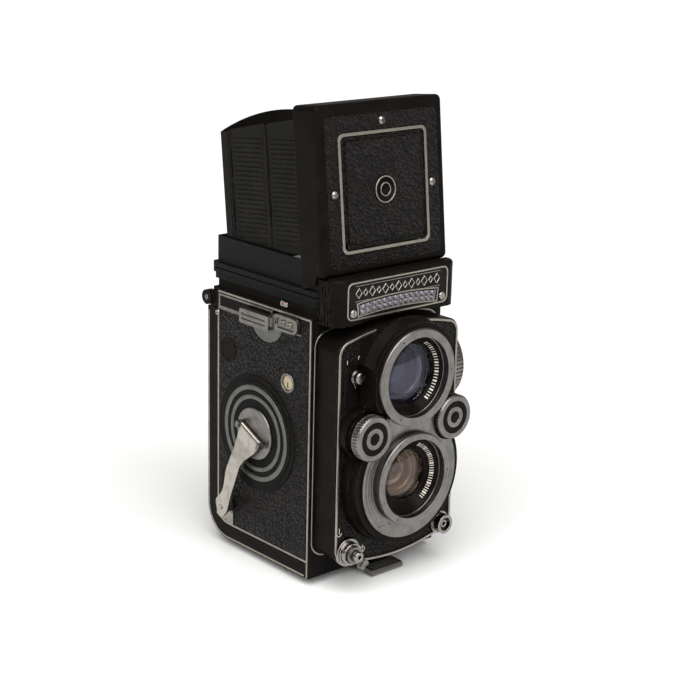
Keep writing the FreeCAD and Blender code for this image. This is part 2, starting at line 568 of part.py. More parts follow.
def lens_block_plan(y0, y1, grow):
    """Front view of the lens block: a round about each lens and a pod under each thumbwheel."""
    parts = [cyl_y(26.3 + grow, y0, y1, 0, VIEW_Z), cyl_y(32.6 + grow, y0, y1, 0, TAKE_Z)]
    pods = [cyl_y(10.8 + grow, y0, y1, s * WHEEL_X, WHEEL_Z) for s in (-1, 1)]
    waist = box(-24 - grow, 24 + grow, y0, y1, 64, 90)
    whole = fuse(parts[0], parts[1], *pods, waist)
    return whole.common(standard_outline(-0.6, y0, y1).fuse(box(-40, 40, y0, y1, 20, 115)))


def lens_block():
    """Black casting on the standard that holds both lenses and the two thumbwheels."""
    y0 = STANDARD_Y
    low = lens_block_plan(y0 - 4.5, y0 + 0.5, 0)
    view = cyl_y(24.6, y0 - 9.2, y0, 0, VIEW_Z)
    cone = Part.makeCone(26.3, 24.6, 4.7, V(0, y0 - 4.5, VIEW_Z), -Y)
    take = cyl_y(31.2, y0 - 8.4, y0, 0, TAKE_Z)
    pods = [cyl_y(8.2, y0 - 7.5, y0, s * WHEEL_X, WHEEL_Z) for s in (-1, 1)]
    web = box(-20, 20, y0 - 8.4, y0, 66, 84)
    brow = cyl_y(24.6, TOWER_Y, y0, 0, VIEW_Z).common(box(-30, 30, TOWER_Y, y0, 86, 130))
    whole = fuse(low, view, cone, take, web, brow)
    clear = [cyl_y(WHEEL_R + 0.7, -80, y0 - 4.5, s * WHEEL_X, WHEEL_Z) for s in (-1, 1)]
    whole = fuse(cut(whole, *clear), *pods)
    bores = [cyl_y(TUBE_R + 0.1, -80, -40, 0, z) for z in (VIEW_Z, TAKE_Z)]
    pins = [cyl_y(2.06, -80, -40, s * WHEEL_X, WHEEL_Z) for s in (-1, 1)]
    socket = [cyl_y(r + 0.3, -80, -40, x, z) for x, z, r in COLLARS]
    return cut(whole, *bores, *pins, *socket, sync_plate_outline(-80, -40))


def lens_face_plate():
    """Bright figure-of-eight face that joins the two bayonets, cut away round the thumbwheels."""
    y0 = STANDARD_Y - 9.2
    view = cyl_y(22.6, TOWER_Y, y0, 0, VIEW_Z).common(box(-30, 30, TOWER_Y, y0, 70, 82))
    take = cyl_y(28.4, FACE_Y, STANDARD_Y - 8.4, 0, TAKE_Z)
    waist = poly([(-15, FACE_Y, 73), (15, FACE_Y, 73), (15, FACE_Y, 84), (-15, FACE_Y, 84)],
                 V(0, STANDARD_Y - 8.4 - FACE_Y, 0))
    grooves = [tube_y(r, r - 0.75, FACE_Y - 1, FACE_Y + 0.35, 0, TAKE_Z) for r in ARC_RADII]
    sector = box(-40, -10, -70, -50, TAKE_Z - 20, TAKE_Z + 18)
    grooves = [g.common(sector) for g in grooves]
    clear = [cyl_y(WHEEL_R + 0.7, -80, -40, s * WHEEL_X, WHEEL_Z) for s in (-1, 1)]
    bores = [cyl_y(TUBE_R + 0.1, -80, -40, 0, z) for z in (VIEW_Z, TAKE_Z)]
    tower = cyl_y(25.0, STANDARD_Y - 9.2, -40, 0, VIEW_Z)
    return cut(fuse(view, take, waist), tower, *clear, *bores, *grooves)


def bayonet(z, r_out):
    """Bayonet ring: a bright stepped tube with a rounded front lip and three small dimples in it."""
    ring = fuse(tube_y(TUBE_R, BORE_R, RING_Y, RING_Y + BORE_DEPTH, 0, z),
                tube_y(TUBE_R, BORE_R - 0.2, RING_Y + BORE_DEPTH, STANDARD_Y + 1, 0, z))
    lip = tube_y(r_out, BORE_R, RING_Y, TOWER_Y, 0, z)
    rim = [e for e in lip.Edges if e.Length > 6.2 * r_out and e.CenterOfMass.y < RING_Y + 0.1]
    lip = lip.makeFillet(0.8, rim)
    notches = []
    for k in range(3):
        a = math.radians(90 + 120 * k)
        x, up = NOTCH_R * math.sin(a), NOTCH_R * math.cos(a)
        notches.append(cyl_y(0.7, RING_Y - 1, RING_Y + 0.5, x, z + up))
    return cut(fuse(ring, lip), *notches)


def lens_barrel(z, glass_r):
    """Black stepped barrel inside a bayonet: a sloping front ring, threads and the seat for the glass."""
    y_front = RING_Y + BORE_DEPTH + 0.02
    outer = cyl_y(BORE_R - 0.22, y_front, STANDARD_Y + 1, 0, z)
    tail = cyl_y(15.5, STANDARD_Y + 1, FRONT + 4, 0, z)
    cone = Part.makeCone(BORE_R - 1.2, glass_r + 0.6, 3.4, V(0, y_front - 0.01, z), Y)
    seat = cyl_y(glass_r, y_front, y_front + 9, 0, z)
    bore = cyl_y(glass_r - 1.8, y_front, FRONT + 5, 0, z)
    steps = []
    for n in range(2):
        y = y_front + 9 + 1.6 * n
        steps.append(cyl_y(glass_r - 0.4 - 0.7 * n, y, y + 0.8, 0, z))
    return cut(fuse(outer, tail), cone, seat, bore, *steps)


def lens_element(z, r, y, crown, thick, sag_back=0.0):
    """A glass element: a domed front of height crown and a plane or hollow back."""
    big = (r * r + crown * crown) / (2 * crown)
    ball = Part.makeSphere(big, V(0, y + big, z))
    disc = cyl_y(r, y - 0.01, y + thick, 0, z).common(ball)
    if sag_back:
        back = (r * r + sag_back * sag_back) / (2 * sag_back)
        disc = disc.cut(Part.makeSphere(back, V(0, y + thick - sag_back + back, z)))
    return disc


def viewing_lens():
    y = RING_Y + 4.6
    return [lens_element(VIEW_Z, 14.0, y, 2.8, 6.0), lens_element(VIEW_Z, 11.1, y + 14, 1.2, 2.4)]


def taking_lens():
    y = RING_Y + 5.6
    return [lens_element(TAKE_Z, 11.75, y, 2.2, 5.4), lens_element(TAKE_Z, 9.9, y + 17, 1.4, 3.0)]


def shutter_space(r):
    return cyl_y(r, SHUTTER_Y, SHUTTER_Y + 0.8, 0, TAKE_Z)


def leaf_shutter():
    """Ring of the leaf shutter between the taking lens's groups."""
    return shutter_space(14.9).cut(shutter_space(9.0))


def taking_barrel():
    return lens_barrel(TAKE_Z, 11.8).cut(shutter_space(14.9))


def thumbwheel(sign):
    """Knurled wheel between the lenses, on a stub shaft into the lens block."""
    x = sign * WHEEL_X
    y0, y1 = WHEEL_Y, WHEEL_Y + WHEEL_T
    wheel = cyl_y(WHEEL_R, y0, y1, x, WHEEL_Z)
    wheel = wheel.makeChamfer(0.7, [e for e in wheel.Edges if e.Length > 60])
    teeth = 44
    grooves = [cyl_y(0.42, y0 + 0.5, y1 - 0.9, x + WHEEL_R * math.cos(a), WHEEL_Z + WHEEL_R * math.sin(a))
               for a in [2 * math.pi * k / teeth for k in range(teeth)]]
    wells = [tube_y(7.7, 4.8, y0 - 1, y0 + 0.5, x, WHEEL_Z), cyl_y(2.8, y0 - 1, y0 + 0.5, x, WHEEL_Z)]
    shaft = cyl_y(2.0, y1, STANDARD_Y - 1, x, WHEEL_Z)
    return fuse(cut(wheel, *grooves, *wells), shaft)


def release_collar():
    x, z = RELEASE
    y = STANDARD_Y
    base = tube_y(6.6, 2.2, y - 1.6, y + 0.5, x, z)
    guard = tube_y(5.2, 4.1, y - 4.6, y - 1.6, x, z)
    whole = fuse(base, guard)
    rims = [e for e in whole.Edges if e.Length > 24 and e.CenterOfMass.y < y - 1.5]
    return whole.makeFillet(0.35, rims)


def release_button():
    """Shutter button: a stem through the standard and a head with a hole for the cable release."""
    x, z = RELEASE
    y = STANDARD_Y
    stem = cyl_y(2.1, y - 7.4, y + 4.0, x, z)
    head = cyl_y(2.5, y - 9.0, y - 6.6, x, z)
    head = head.makeFillet(0.5, [e for e in head.Edges if e.CenterOfMass.y < y - 8.9])
    return cut(fuse(stem, head), cyl_y(1.0, y - 10, y - 5, x, z))


def release_lock():
    """Bow-tie lever round the release collar that locks the button, pointing down and inwards."""
    x, z = RELEASE
    y = STANDARD_Y
    ring = tube_y(4.0, 2.7, y - 6.2, y - 4.75, x, z)
    arm = slab_y(x - 1.6, x + 1.6, z - 7.4, z - 3.2, 1.2, y - 6.2, y - 4.75)
    tip = slab_y(x - 2.4, x + 2.4, z - 8.3, z - 5.6, 1.0, y - 7.6, y - 4.75)
    notch = cyl_y(0.9, y - 9, y, x, z - 8.6)
    lever = fuse(ring, arm, tip).cut(notch)
    lever.rotate(V(x, y, z), Y, -40)
    return lever


def flash_socket():
    """Coaxial flash terminal in a bright ring."""
    x, z = FLASH
    y = STANDARD_Y
    ring = fuse(tube_y(5.4, 3.2, y - 1.4, y + 0.5, x, z), tube_y(4.6, 3.2, y - 5.2, y - 1.4, x, z))
    pin = fuse(cyl_y(3.2, y - 0.9, y + 0.5, x, z), tube_y(1.75, 1.0, y - 4.2, y - 0.9, x, z))
    return fuse(ring, pin)


def sync_lever():
    """Flash and self-timer selector: a pointer on a pivot with a round bright knob."""
    x, z = SYNC
    y = STANDARD_Y
    pivot = cyl_y(1.2, y - 1.0, y + 3, x, z)
    hub = cyl_y(3.3, y - 2.8, y - 0.85, x, z)
    knob = cyl_y(2.75, y - 5.6, y - 2.8, x, z)
    knob = knob.makeFillet(0.6, [e for e in knob.Edges if e.CenterOfMass.y < y - 5.5])
    outline = [(x - 1.4, y - 1.9, z - 2.6), (x + 1.4, y - 1.9, z - 2.6), (x, y - 1.9, z - 5.6)]
    pointer = poly(outline, V(0, 1.05, 0))
    return fuse(pivot, hub, knob, pointer)


def focus_knob():
    """Large knurled focusing knob with a sunk face, on the shaft that drives the standard."""
    x0 = HALF_W + 1.2
    x1 = x0 + 16.2
    rim = cyl_x(KNOB_R, x0 + 3.0, x1, KNOB_Y, KNOB_Z)
    rim = rim.makeChamfer(1.2, [e for e in rim.Edges if e.Length > 100])
    foot = cyl_x(KNOB_R - 1.6, x0, x0 + 3.2, KNOB_Y, KNOB_Z)
    well = cyl_x(KNOB_R - 3.6, x1 - 0.8, x1 + 1, KNOB_Y, KNOB_Z)
    grooves = []
    for k in range(KNURLS):
        a = 2 * math.pi * k / KNURLS
        y, z = KNOB_Y + KNOB_R * math.cos(a), KNOB_Z + KNOB_R * math.sin(a)
        grooves.append(cyl_x(0.5, x0 + 6.4, x1 - 1.4, y, z))
    shaft = cyl_x(3.1, 33.4, x0 + 1, KNOB_Y, KNOB_Z)
    return fuse(cut(rim, well, *grooves), foot, shaft)


# ---- meter housing and finder -------------------------------------------------------------------
def meter_housing():
    """Black housing over the lenses with a bowed underside and ribs round each end."""
    back, half, low, high = FRONT - 0.02, 36.4, 123.6, 144.4
    plan = [V(-half, back, low), V(-half, METER_Y + 5.5, low), V(-half + 1.7, METER_Y + 1.4, low),
            V(-half + 5.5, METER_Y, low)]
    right = [V(-p.x, p.y, p.z) for p in plan]
    edges = [
        Part.LineSegment(plan[0], plan[1]).toShape(), Part.Arc(*plan[1:]).toShape(),
        Part.LineSegment(plan[3], right[3]).toShape(), Part.Arc(right[3], right[2], right[1]).toShape(),
        Part.LineSegment(right[1], right[0]).toShape(), Part.LineSegment(right[0], plan[0]).toShape()]
    block = face(edges).extrude(V(0, 0, high - low))
    top = [e for e in block.Edges if abs(e.CenterOfMass.z - high) < 0.01 and e.CenterOfMass.y < back - 1]
    block = block.makeFillet(1.6, top)
    bow_r = 180.0
    bow = cyl_y(bow_r, -60, -30, 0, low + 1.7 - bow_r)
    ribs = []
    for k in range(5):
        y = METER_Y + 3.0 + 1.9 * k
        ribs += [box(s * 36.4 - 0.6, s * 36.4 + 0.6, y, y + 0.8, low - 1, high - 3.4) for s in (-1, 1)]
    seat = slab_y(-30.4, 30.4, 125.6, 143.0, 3.2, METER_Y - 1, METER_Y + 0.6)
    steps = [box(-half, half, METER_Y + 6.4, back + 1, 143.0, high)]
    steps.append(box(-half, half, FRONT - 1, back + 1, 129.5, high))
    return cut(block, bow, *ribs, seat, *steps)


def nameplate():
    """Blank plate with a raised bright border and a window for the light meter's cell."""
    plate = slab_y(-30.3, 30.3, 125.7, 142.9, 3.1, METER_Y - 0.35, METER_Y + 0.6)
    field = slab_y(-29.3, 29.3, 126.7, 141.9, 2.4, METER_Y - 1, METER_Y - 0.05)
    window = meter_window_outline(METER_Y - 2, METER_Y + 2, 0)
    frame = meter_window_outline(METER_Y - 0.35, METER_Y + 0.6, 0.8).cut(window)
    return fuse(plate.cut(field), frame).cut(window)


def meter_window_outline(y0, y1, grow):
    low, high, half = 127.3 - grow, 132.2 + grow, 22.6 + grow
    p = [V(-half, y0, low), V(0, y0, low + 1.4), V(half, y0, low), V(half + 0.8, y0, high),
         V(0, y0, high + 1.5), V(-half - 0.8, y0, high)]
    edges = [Part.Arc(p[0], p[1], p[2]).toShape(), Part.LineSegment(p[2], p[3]).toShape(),
             Part.Arc(p[3], p[4], p[5]).toShape(), Part.LineSegment(p[5], p[0]).toShape()]
    return face(edges).extrude(V(0, y1 - y0, 0))


def meter_window():
    """Moulded window over the light cell: two rows of small domed lenslets."""
    pane = meter_window_outline(METER_Y - 0.1, METER_Y + 0.6, -0.05)
    domes = []
    for row in range(2):
        for k in range(14):
            x = -20.8 + 3.2 * k
            rise = 1.45 * (1 - (x / 23.0) ** 2)
            z = 128.65 + row * 2.35 + rise
            domes.append(Part.makeSphere(1.5, V(x, METER_Y + 0.45, z)))
    lens_area = meter_window_outline(METER_Y - 2, METER_Y, -0.05)
    return fuse(pane, *[d.common(lens_area) for d in domes])


def body_screws():
    """Slotted screws of the nameplate and the round studs at the ends of the side rims."""
    plate = [screw((s * 26.6, METER_Y - 0.05, 128.9), -Y, r=1.9, h=0.9) for s in (-1, 1)]
    studs = [screw((s * HALF_W, *STUD), X * s, r=STUD_R, h=1.2) for s in (-1, 1)]
    return plate + studs


def hood_base():
    """Frame that clips on the casting's neck, with the wall round the screen and the lid's two pivots."""
    lower = slab_z(-36.4, 36.4, FRONT - 0.2, REAR - 0.4, 3, 129.6, 132.6)
    upper = slab_z(-37.0, 37.0, FRONT - 0.9, REAR + 0.4, 3, 132.6, 137.2)
    groove = slab_z(-38, 38, FRONT - 3, REAR + 2, 3, 134.4, 135.0).cut(
        slab_z(-36.4, 36.4, FRONT - 0.3, REAR - 0.2, 3, 134, 136))
    shaft = box(-29.5, 29.5, FRONT + 5.5, FRONT + 64.5, 120, 140)
    seat = box(-31, 31, FRONT + 4.4, FRONT + 66, 133.4, 140)
    outer = slab_z(-35.7, 35.7, FRONT + 1.6, REAR - 2.3, 1.6, 137.2, 149.6)
    inner = slab_z(-34.6, 34.6, FRONT + 2.8, REAR - 3.4, 1.0, 136, 151)
    notch = box(-40, 40, FRONT, FRONT + 11.0, 142.6, 151)
    y, z = LID_HINGE
    pivots = []
    for s in (-1, 1):
        pivots.append(box(s * 35.15 - 0.55, s * 35.15 + 0.55, y - 1.6, y + 3.2, 137.2, z + 1.6))
        pivots.append(cyl_x(1.3, *sorted((s * 34.6, s * 37.0)), y, z))
    return fuse(cut(fuse(lower, upper), groove, shaft, seat), cut(outer, inner, notch), *pivots)


def focusing_screen():
    return box(-30.9, 30.9, FRONT + 4.5, FRONT + 65.9, 133.4, 135.2)


# ---- hood ---------------------------------------------------------------------------------------
# Each hood part is drawn upright, in its closed-up frame, and then leaned back by lean().
def hood_lid():
    """Square lid, box-shaped to cover the finder's wall when shut, with the sports-finder window."""
    y0, z0 = LID_Y, LID_Z
    y1 = y0 + LID_DEPTH
    block = slab_y(-LID_HALF, LID_HALF, z0, z0 + LID_H, 2.6, y0, y1)
    rims = [e for e in block.Edges if abs(e.CenterOfMass.y - y0) < 0.01]
    block = block.makeFillet(2.2, rims)
    hollow = box(-LID_HALF + 1.0, LID_HALF - 1.0, y0 + 1.6, y1 + 1, z0 - 12, z0 + LID_H - 1.2)
    tabs = []
    for s in (-1, 1):
        x0, x1 = sorted((s * LID_HALF, s * (LID_HALF - 1.0)))
        tabs.append(poly([(x0, y0 + 5.0, z0 + 2), (x0, y0 + 6.4, z0 - 3.0), (x0, y1 - 1.0, z0 - 4.9),
                          (x0, y1, z0 - 4.3), (x0, y1, z0 + 3)], V(x1 - x0, 0, 0)))
    field = slab_y(-33.0, 33.0, z0 + 3.4, z0 + 68.8, 3.2, y0 - 1, y0 + 0.7)
    window = slab_y(-24.6, 24.6, z0 + 10.7, z0 + 59.8, 2.2, y0 - 1, y0 + 3)
    pivots = [cyl_x(1.35, s * 36.2 - 2, s * 36.2 + 2, *LID_HINGE) for s in (-1, 1)]
    strip = lid_hinge_strip()
    shell = cut(fuse(block.cut(hollow), *tabs), field, window, *pivots)
    return fuse(shell, strip, mirror_x(strip), *panel_pin())


def lid_leather():
    z0 = LID_Z
    sheet = slab_y(-32.9, 32.9, z0 + 3.5, z0 + 68.7, 3.1, LID_Y - 0.1, LID_Y + 0.7)
    hole = slab_y(-26.1, 26.1, z0 + 9.2, z0 + 61.3, 3.2, LID_Y - 1, LID_Y + 2)
    heads = [cyl_y(1.85, LID_Y - 2, LID_Y + 2, x, z0 + h) for x, h in LID_SCREWS]
    return cut(sheet, hole, *heads)


def lid_screws():
    return [screw((x, LID_Y + 0.7, LID_Z + h), -Y, r=1.8, h=1.7) for x, h in LID_SCREWS]


def lid_trim():
    """Bright border round the sports-finder window."""
    z0 = LID_Z
    ring = slab_y(-26.0, 26.0, z0 + 9.3, z0 + 61.2, 3.1, LID_Y - 0.45, LID_Y + 0.7)
    return ring.cut(slab_y(-24.7, 24.7, z0 + 10.6, z0 + 59.9, 2.3, LID_Y - 1, LID_Y + 1))


def sports_panel():
    """Window panel of the lid with a pressed step; it folds in for the eye-level finder."""
    z0 = LID_Z
    plate = slab_y(-24.3, 24.3, z0 + 11.0, z0 + 59.5, 2.0, LID_Y + 0.3, LID_Y + 1.5)
    step = slab_y(-22.0, 22.0, z0 + 13.2, z0 + 57.6, 1.6, LID_Y - 0.5, LID_Y + 0.4)
    step = step.makeFillet(0.5, [e for e in step.Edges if abs(e.CenterOfMass.y - LID_Y + 0.5) < 0.01])
    y, z = PANEL_AXIS
    barrel = cyl_x(1.2, -20, 20, y, z)
    corners = [box(s * 23.8 - 1.2, s * 23.8 + 1.2, LID_Y - 1, LID_Y + 4, z - 3, z + 1.8) for s in (-1, 1)]
    panel = cut(fuse(plate, step, barrel), cyl_x(0.66, -30, 30, y, z), *corners)
    return fuse(panel, *magnifier_pin())


def panel_pin():
    """Hinge pin of the sports-finder panel, in two ears at the lid's window."""
    y, z = PANEL_AXIS
    ears = [box(s * 24.2 - 0.8, s * 24.2 + 0.8, LID_Y + 1.0, LID_Y + 3.6, z - 3.0, z + 1.4) for s in (-1, 1)]
    return ears + [cyl_x(0.6, -24.6, 24.6, y, z)]


def magnifier_plate():
    """Swing-out plate that holds the focusing magnifier, folded flat behind the panel."""
    y, z = MAG_AXIS
    plate = slab_y(-21, 21, z - 40, z - 2.0, 2.4, y - 0.7, y + 0.7)
    ring = tube_y(17.2, 15.0, y - 0.7, y + 2.8, 0, z - 20.5)
    barrel = cyl_x(1.1, -18, 18, y, z)
    arm = box(-17.9, 17.9, y - 0.6, y + 0.6, z - 2.2, z)
    hole = cyl_y(15.0, y - 3, y + 4, 0, z - 20.5)
    return cut(fuse(plate, ring, barrel, arm), hole, cyl_x(0.66, -30, 30, y, z))


def magnifier_lens():
    y, z = MAG_AXIS
    r, crown = 14.95, 1.9
    big = (r * r + crown * crown) / (2 * crown)
    ball = Part.makeSphere(big, V(0, y + 2.6 - big, z - 20.5))
    return cyl_y(r, y - 0.3, y + 2.7, 0, z - 20.5).common(ball)


def magnifier_pin():
    """Hinge pin of the magnifier, on two ears behind the sports-finder panel."""
    y, z = MAG_AXIS
    ears = [box(s * 19.6 - 1.2, s * 19.6 + 1.2, LID_Y + 1.4, y + 1.1, z - 1.1, z + 1.1) for s in (-1, 1)]
    return ears + [cyl_x(0.6, -20.6, 20.6, y, z)]


def spans(top, first):
    """Alternate knuckle spans up a hinge from the leaves' foot to top: first 0 or 1 picks the set."""
    count, low = 5, LEAF_LOW + 0.6
    step = (top - 0.6 - low) / count
    return [(low + step * k + 0.12, low + step * (k + 1) - 0.12) for k in range(first, count, 2)]


def knuckles(x, hinge_y, edge_y, top, first):
    """Knuckles on a hinge line, each joined to the sheet whose edge is at edge_y."""
    out = []
    for z0, z1 in spans(top, first):
        out.append(cyl_z(LEAF_R, z0, z1, x, hinge_y))
        out.append(box(x - SHEET, x + SHEET, min(hinge_y, edge_y), max(hinge_y, edge_y), z0, z1))
    return out


def hinge_bore(x, y):
    return cyl_z(PIN_R + 0.05, LEAF_LOW - 5, LEAF_LOW + 80, x, y)


def hinge_pin(x, y, top):
    return cyl_z(PIN_R, LEAF_LOW + 0.7, top - 0.7, x, y)


def leaf(y0, y1, top0, top1, first0, first1):
    """A ribbed side leaf on the -X side between hinge lines y0 and y1. Its own pin is the one at y1."""
    a, b = y0 + EDGE, y1 - EDGE
    x = -LEAF_X
    outline = [(x - SHEET, a, LEAF_LOW), (x - SHEET, b, LEAF_LOW), (x - SHEET, b, top1), (x - SHEET, a, top0)]
    plate = poly(outline, V(2 * SHEET, 0, 0))
    ribs = []
    for k in range(RIB_COUNT):
        z = LEAF_LOW + 3.0 + RIB_PITCH * k
        bar = cyl_y(RIB_R, a + 1.9, b - 1.9, x - SHEET + RIB_R - 0.3, z)
        ribs.append(bar.common(box(x - 2, x - SHEET + 0.05, -60, 60, 0, 250)))
    shape = fuse(plate, *ribs, *knuckles(x, y0, a, top0, first0), *knuckles(x, y1, b, top1, first1))
    shape = shape.cut(hinge_bore(x, y0))
    return fuse(shape, hinge_pin(x, y1, top1))


def front_leaf():
    return leaf(HINGE_A, HINGE_B, LEAF_TOPS[0], LEAF_TOPS[1], 0, 0)


def rear_leaf():
    return leaf(HINGE_B, HINGE_C, LEAF_TOPS[1], LEAF_TOPS[2], 1, 0)


def lid_hinge_strip():
    """Strip inside the lid's -X side with the knuckles and pin that carry the front leaf."""
    x = -LEAF_X
    strip = box(-LID_HALF + 0.9, x - 1.2, HINGE_A - 1.4, HINGE_A + 1.0, LEAF_LOW, LEAF_TOPS[0])
    parts = [strip, hinge_pin(x, HINGE_A, LEAF_TOPS[0])]
    for z0, z1 in spans(LEAF_TOPS[0], 1):
        parts.append(cyl_z(LEAF_R, z0, z1, x, HINGE_A))
        parts.append(box(x - 2.0, x, HINGE_A - 0.4, HINGE_A + 0.4, z0, z1))
    return fuse(*parts)


def rear_panel():
    """Rear wall of the hood: side flanges on the leaves' hinges, a bowed top and two sighting holes."""
    y, x = HINGE_C, LEAF_X
    low, side = LEAF_LOW, LEAF_TOPS[2] - 1.2
    back, half = y + 5.0, x + 0.5
    pts = [V(-half, back, low), V(half, back, low), V(half, back, side), V(half - 2.2, back, side + 1.0),
           V(0, back, side + 7.3), V(2.2 - half, back, side + 1.0), V(-half, back, side)]
    edges = [Part.LineSegment(pts[0], pts[1]).toShape(), Part.LineSegment(pts[1], pts[2]).toShape(),
             Part.LineSegment(pts[2], pts[3]).toShape(), Part.Arc(pts[3], pts[4], pts[5]).toShape(),
             Part.LineSegment(pts[5], pts[6]).toShape(), Part.LineSegment(pts[6], pts[0]).toShape()]
    wall = face(edges).extrude(V(0, 0.8, 0))
    sight = slab_y(-5, 5, LID_Z + 34, LID_Z + 44, 1.5, y, y + 9)
    eye = cyl_y(4.0, y, y + 9, 0, LID_Z + 24)
    parts = [cut(wall, sight, eye)]
    for s in (-1, 1):
        parts.append(box(s * x - 0.5, s * x + 0.5, y + EDGE, back + 0.4, low, side))
        parts += knuckles(s * x, y, y + EDGE + 0.1, LEAF_TOPS[2], 1)
    return cut(fuse(*parts), *[hinge_bore(s * x, y) for s in (-1, 1)])


# ---- every node, by name ------------------------------------------------------------------------
def nodes():
    yield "body_casting", body_casting()
    yield "crank_side_cover", crank_side_cover()
    yield "focus_side_cover", focus_side_cover()
    yield "crank_side_leather", crank_side_leather()
    yield "focus_side_leather", focus_side_leather()
    yield "film_roller_lower", film_roller(*ROLLER_LOW)
    yield "film_roller_upper", film_roller(*ROLLER_HIGH)
    yield "reflex_mirror", mirror()
    yield "door_hinge_pin", door_hinge_pin()
    yield "crank_dial", crank_dial()
    yield "counter_window", counter_window()
    yield "strap_lugs", strap_lugs()
    yield "meter_housing", meter_housing()
    yield "nameplate", nameplate()
    yield "meter_window", meter_window()
    yield "body_screws", body_screws()
    yield "takeup_spool", spool(*SPOOL_HIGH)
    yield "supply_spool", spool(*SPOOL_LOW)
    yield "spool_knob_upper", spool_knob(*SPOOL_HIGH)
    yield "spool_knob_lower", spool_knob(*SPOOL_LOW)
    yield "crank_hub", crank_hub()
    yield "crank_arm", crank_arm()
    yield "crank_handle", crank_handle()
    yield "focus_knob", focus_knob()
    yield "back_door", back_door()
    yield "back_door_leather", back_door_leather()
    yield "pressure_plate", pressure_plate()
    yield "tripod_socket", tripod_socket()
    yield "door_feet", door_feet()
    yield "door_latch", door_latch()
    yield "standard_housing", standard_housing()
    yield "standard_leather", standard_leather()
    yield "lens_block", lens_block()
    yield "lens_face_plate", lens_face_plate()
    yield "bayonets", [bayonet(VIEW_Z, 22.4), bayonet(TAKE_Z, 21.4)]
    yield "lens_barrels", [lens_barrel(VIEW_Z, 14.05), taking_barrel()]
    yield "viewing_lens", viewing_lens()
    yield "taking_lens", taking_lens()
    yield "leaf_shutter", leaf_shutter()
    yield "aperture_wheel", thumbwheel(-1)
    yield "shutter_speed_wheel", thumbwheel(1)
    yield "release_collar", release_collar()
    yield "release_button", release_button()
    yield "release_lock", release_lock()
    yield "flash_socket", flash_socket()
    yield "sync_lever", sync_lever()
    yield "hood_base", hood_base()
    yield "focusing_screen", focusing_screen()
    yield "hood_lid", lean(hood_lid())
    yield "lid_leather", lean(lid_leather())
    yield "lid_trim", lean(lid_trim())
    yield "lid_screws", [lean(s) for s in lid_screws()]
    yield "sports_panel", lean(sports_panel())
    yield "magnifier_plate", lean(magnifier_plate())
    yield "magnifier_lens", lean(magnifier_lens())
    for side, turn in (("left", lean), ("right", lambda s: lean(mirror_x(s)))):
        yield "front_leaf_" + side, turn(front_leaf())
        yield "rear_leaf_" + side, turn(rear_leaf())
    yield "rear_panel", lean(rear_panel())


def main():
    os.makedirs("parts", exist_ok=True)
    for old in os.listdir("parts"):
        if old.endswith(".step"):
            os.remove(os.path.join("parts", old))
    for name, shape in nodes():
        solids = []
        for s in shape if isinstance(shape, list) else [shape]:
            solids += s.Solids
        out = solids[0] if len(solids) == 1 else Part.makeCompound(solids)
        if not out.isValid():
            print("not valid:", name)
        out.exportStep(os.path.join("parts", name + ".step"))
        print(f"{name}: {len(solids)} solid(s), {out.Volume:.0f} mm3")


main()
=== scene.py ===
"""Looks of the twin lens reflex camera: materials, fine trim pieces, light, floor and camera.

Everything is drawn in millimetres in the CAD model's frame and turned into metres as it is made.
Each trim piece is placed from the boxes of the CAD nodes that it sits on.
"""
import math
import bmesh
import bpy
from mathutils import Matrix, Vector


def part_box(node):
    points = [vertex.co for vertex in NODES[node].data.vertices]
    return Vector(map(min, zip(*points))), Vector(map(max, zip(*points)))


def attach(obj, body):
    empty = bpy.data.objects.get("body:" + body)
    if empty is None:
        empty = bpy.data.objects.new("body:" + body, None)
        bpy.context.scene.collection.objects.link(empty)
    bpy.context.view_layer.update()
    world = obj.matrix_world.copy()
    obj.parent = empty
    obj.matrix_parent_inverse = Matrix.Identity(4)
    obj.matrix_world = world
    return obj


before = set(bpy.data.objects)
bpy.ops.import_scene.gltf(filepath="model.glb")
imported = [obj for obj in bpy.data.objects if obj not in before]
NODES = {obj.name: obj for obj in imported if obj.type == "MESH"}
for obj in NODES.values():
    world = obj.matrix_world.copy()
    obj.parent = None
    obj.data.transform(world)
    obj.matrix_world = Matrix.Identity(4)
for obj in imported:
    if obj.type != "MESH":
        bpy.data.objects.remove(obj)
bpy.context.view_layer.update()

MM = 0.001
TO_METRES = Matrix.Scale(MM, 4)
HOOD_LEAN = math.radians(6.2)            # the raised hood leans back by this much


# ---- places, read from the frame ----------------------------------------------------------------
def box_mm(node):
    low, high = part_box(node)
    return low / MM, high / MM


def centre_mm(node):
    low, high = box_mm(node)
    return (low + high) / 2


def placed(origin, x_axis, y_axis):
    """Matrix from a piece's own frame: its local z looks out of the surface it sits on."""
    x, y = Vector(x_axis), Vector(y_axis)
    rows = Matrix((x, y, x.cross(y))).transposed().to_4x4()
    return Matrix.Translation(Vector(origin)) @ rows


def facing_front(x, y, z):
    return placed((x, y, z), (1, 0, 0), (0, 0, 1))


def facing_crank_side(x, y, z):
    return placed((x, y, z), (0, -1, 0), (0, 0, 1))


def facing_knob_side(x, y, z):
    return placed((x, y, z), (0, 1, 0), (0, 0, 1))


def facing_back(x, y, z):
    return placed((x, y, z), (-1, 0, 0), (0, 0, 1))


UP_LID = (0, math.sin(HOOD_LEAN), math.cos(HOOD_LEAN))


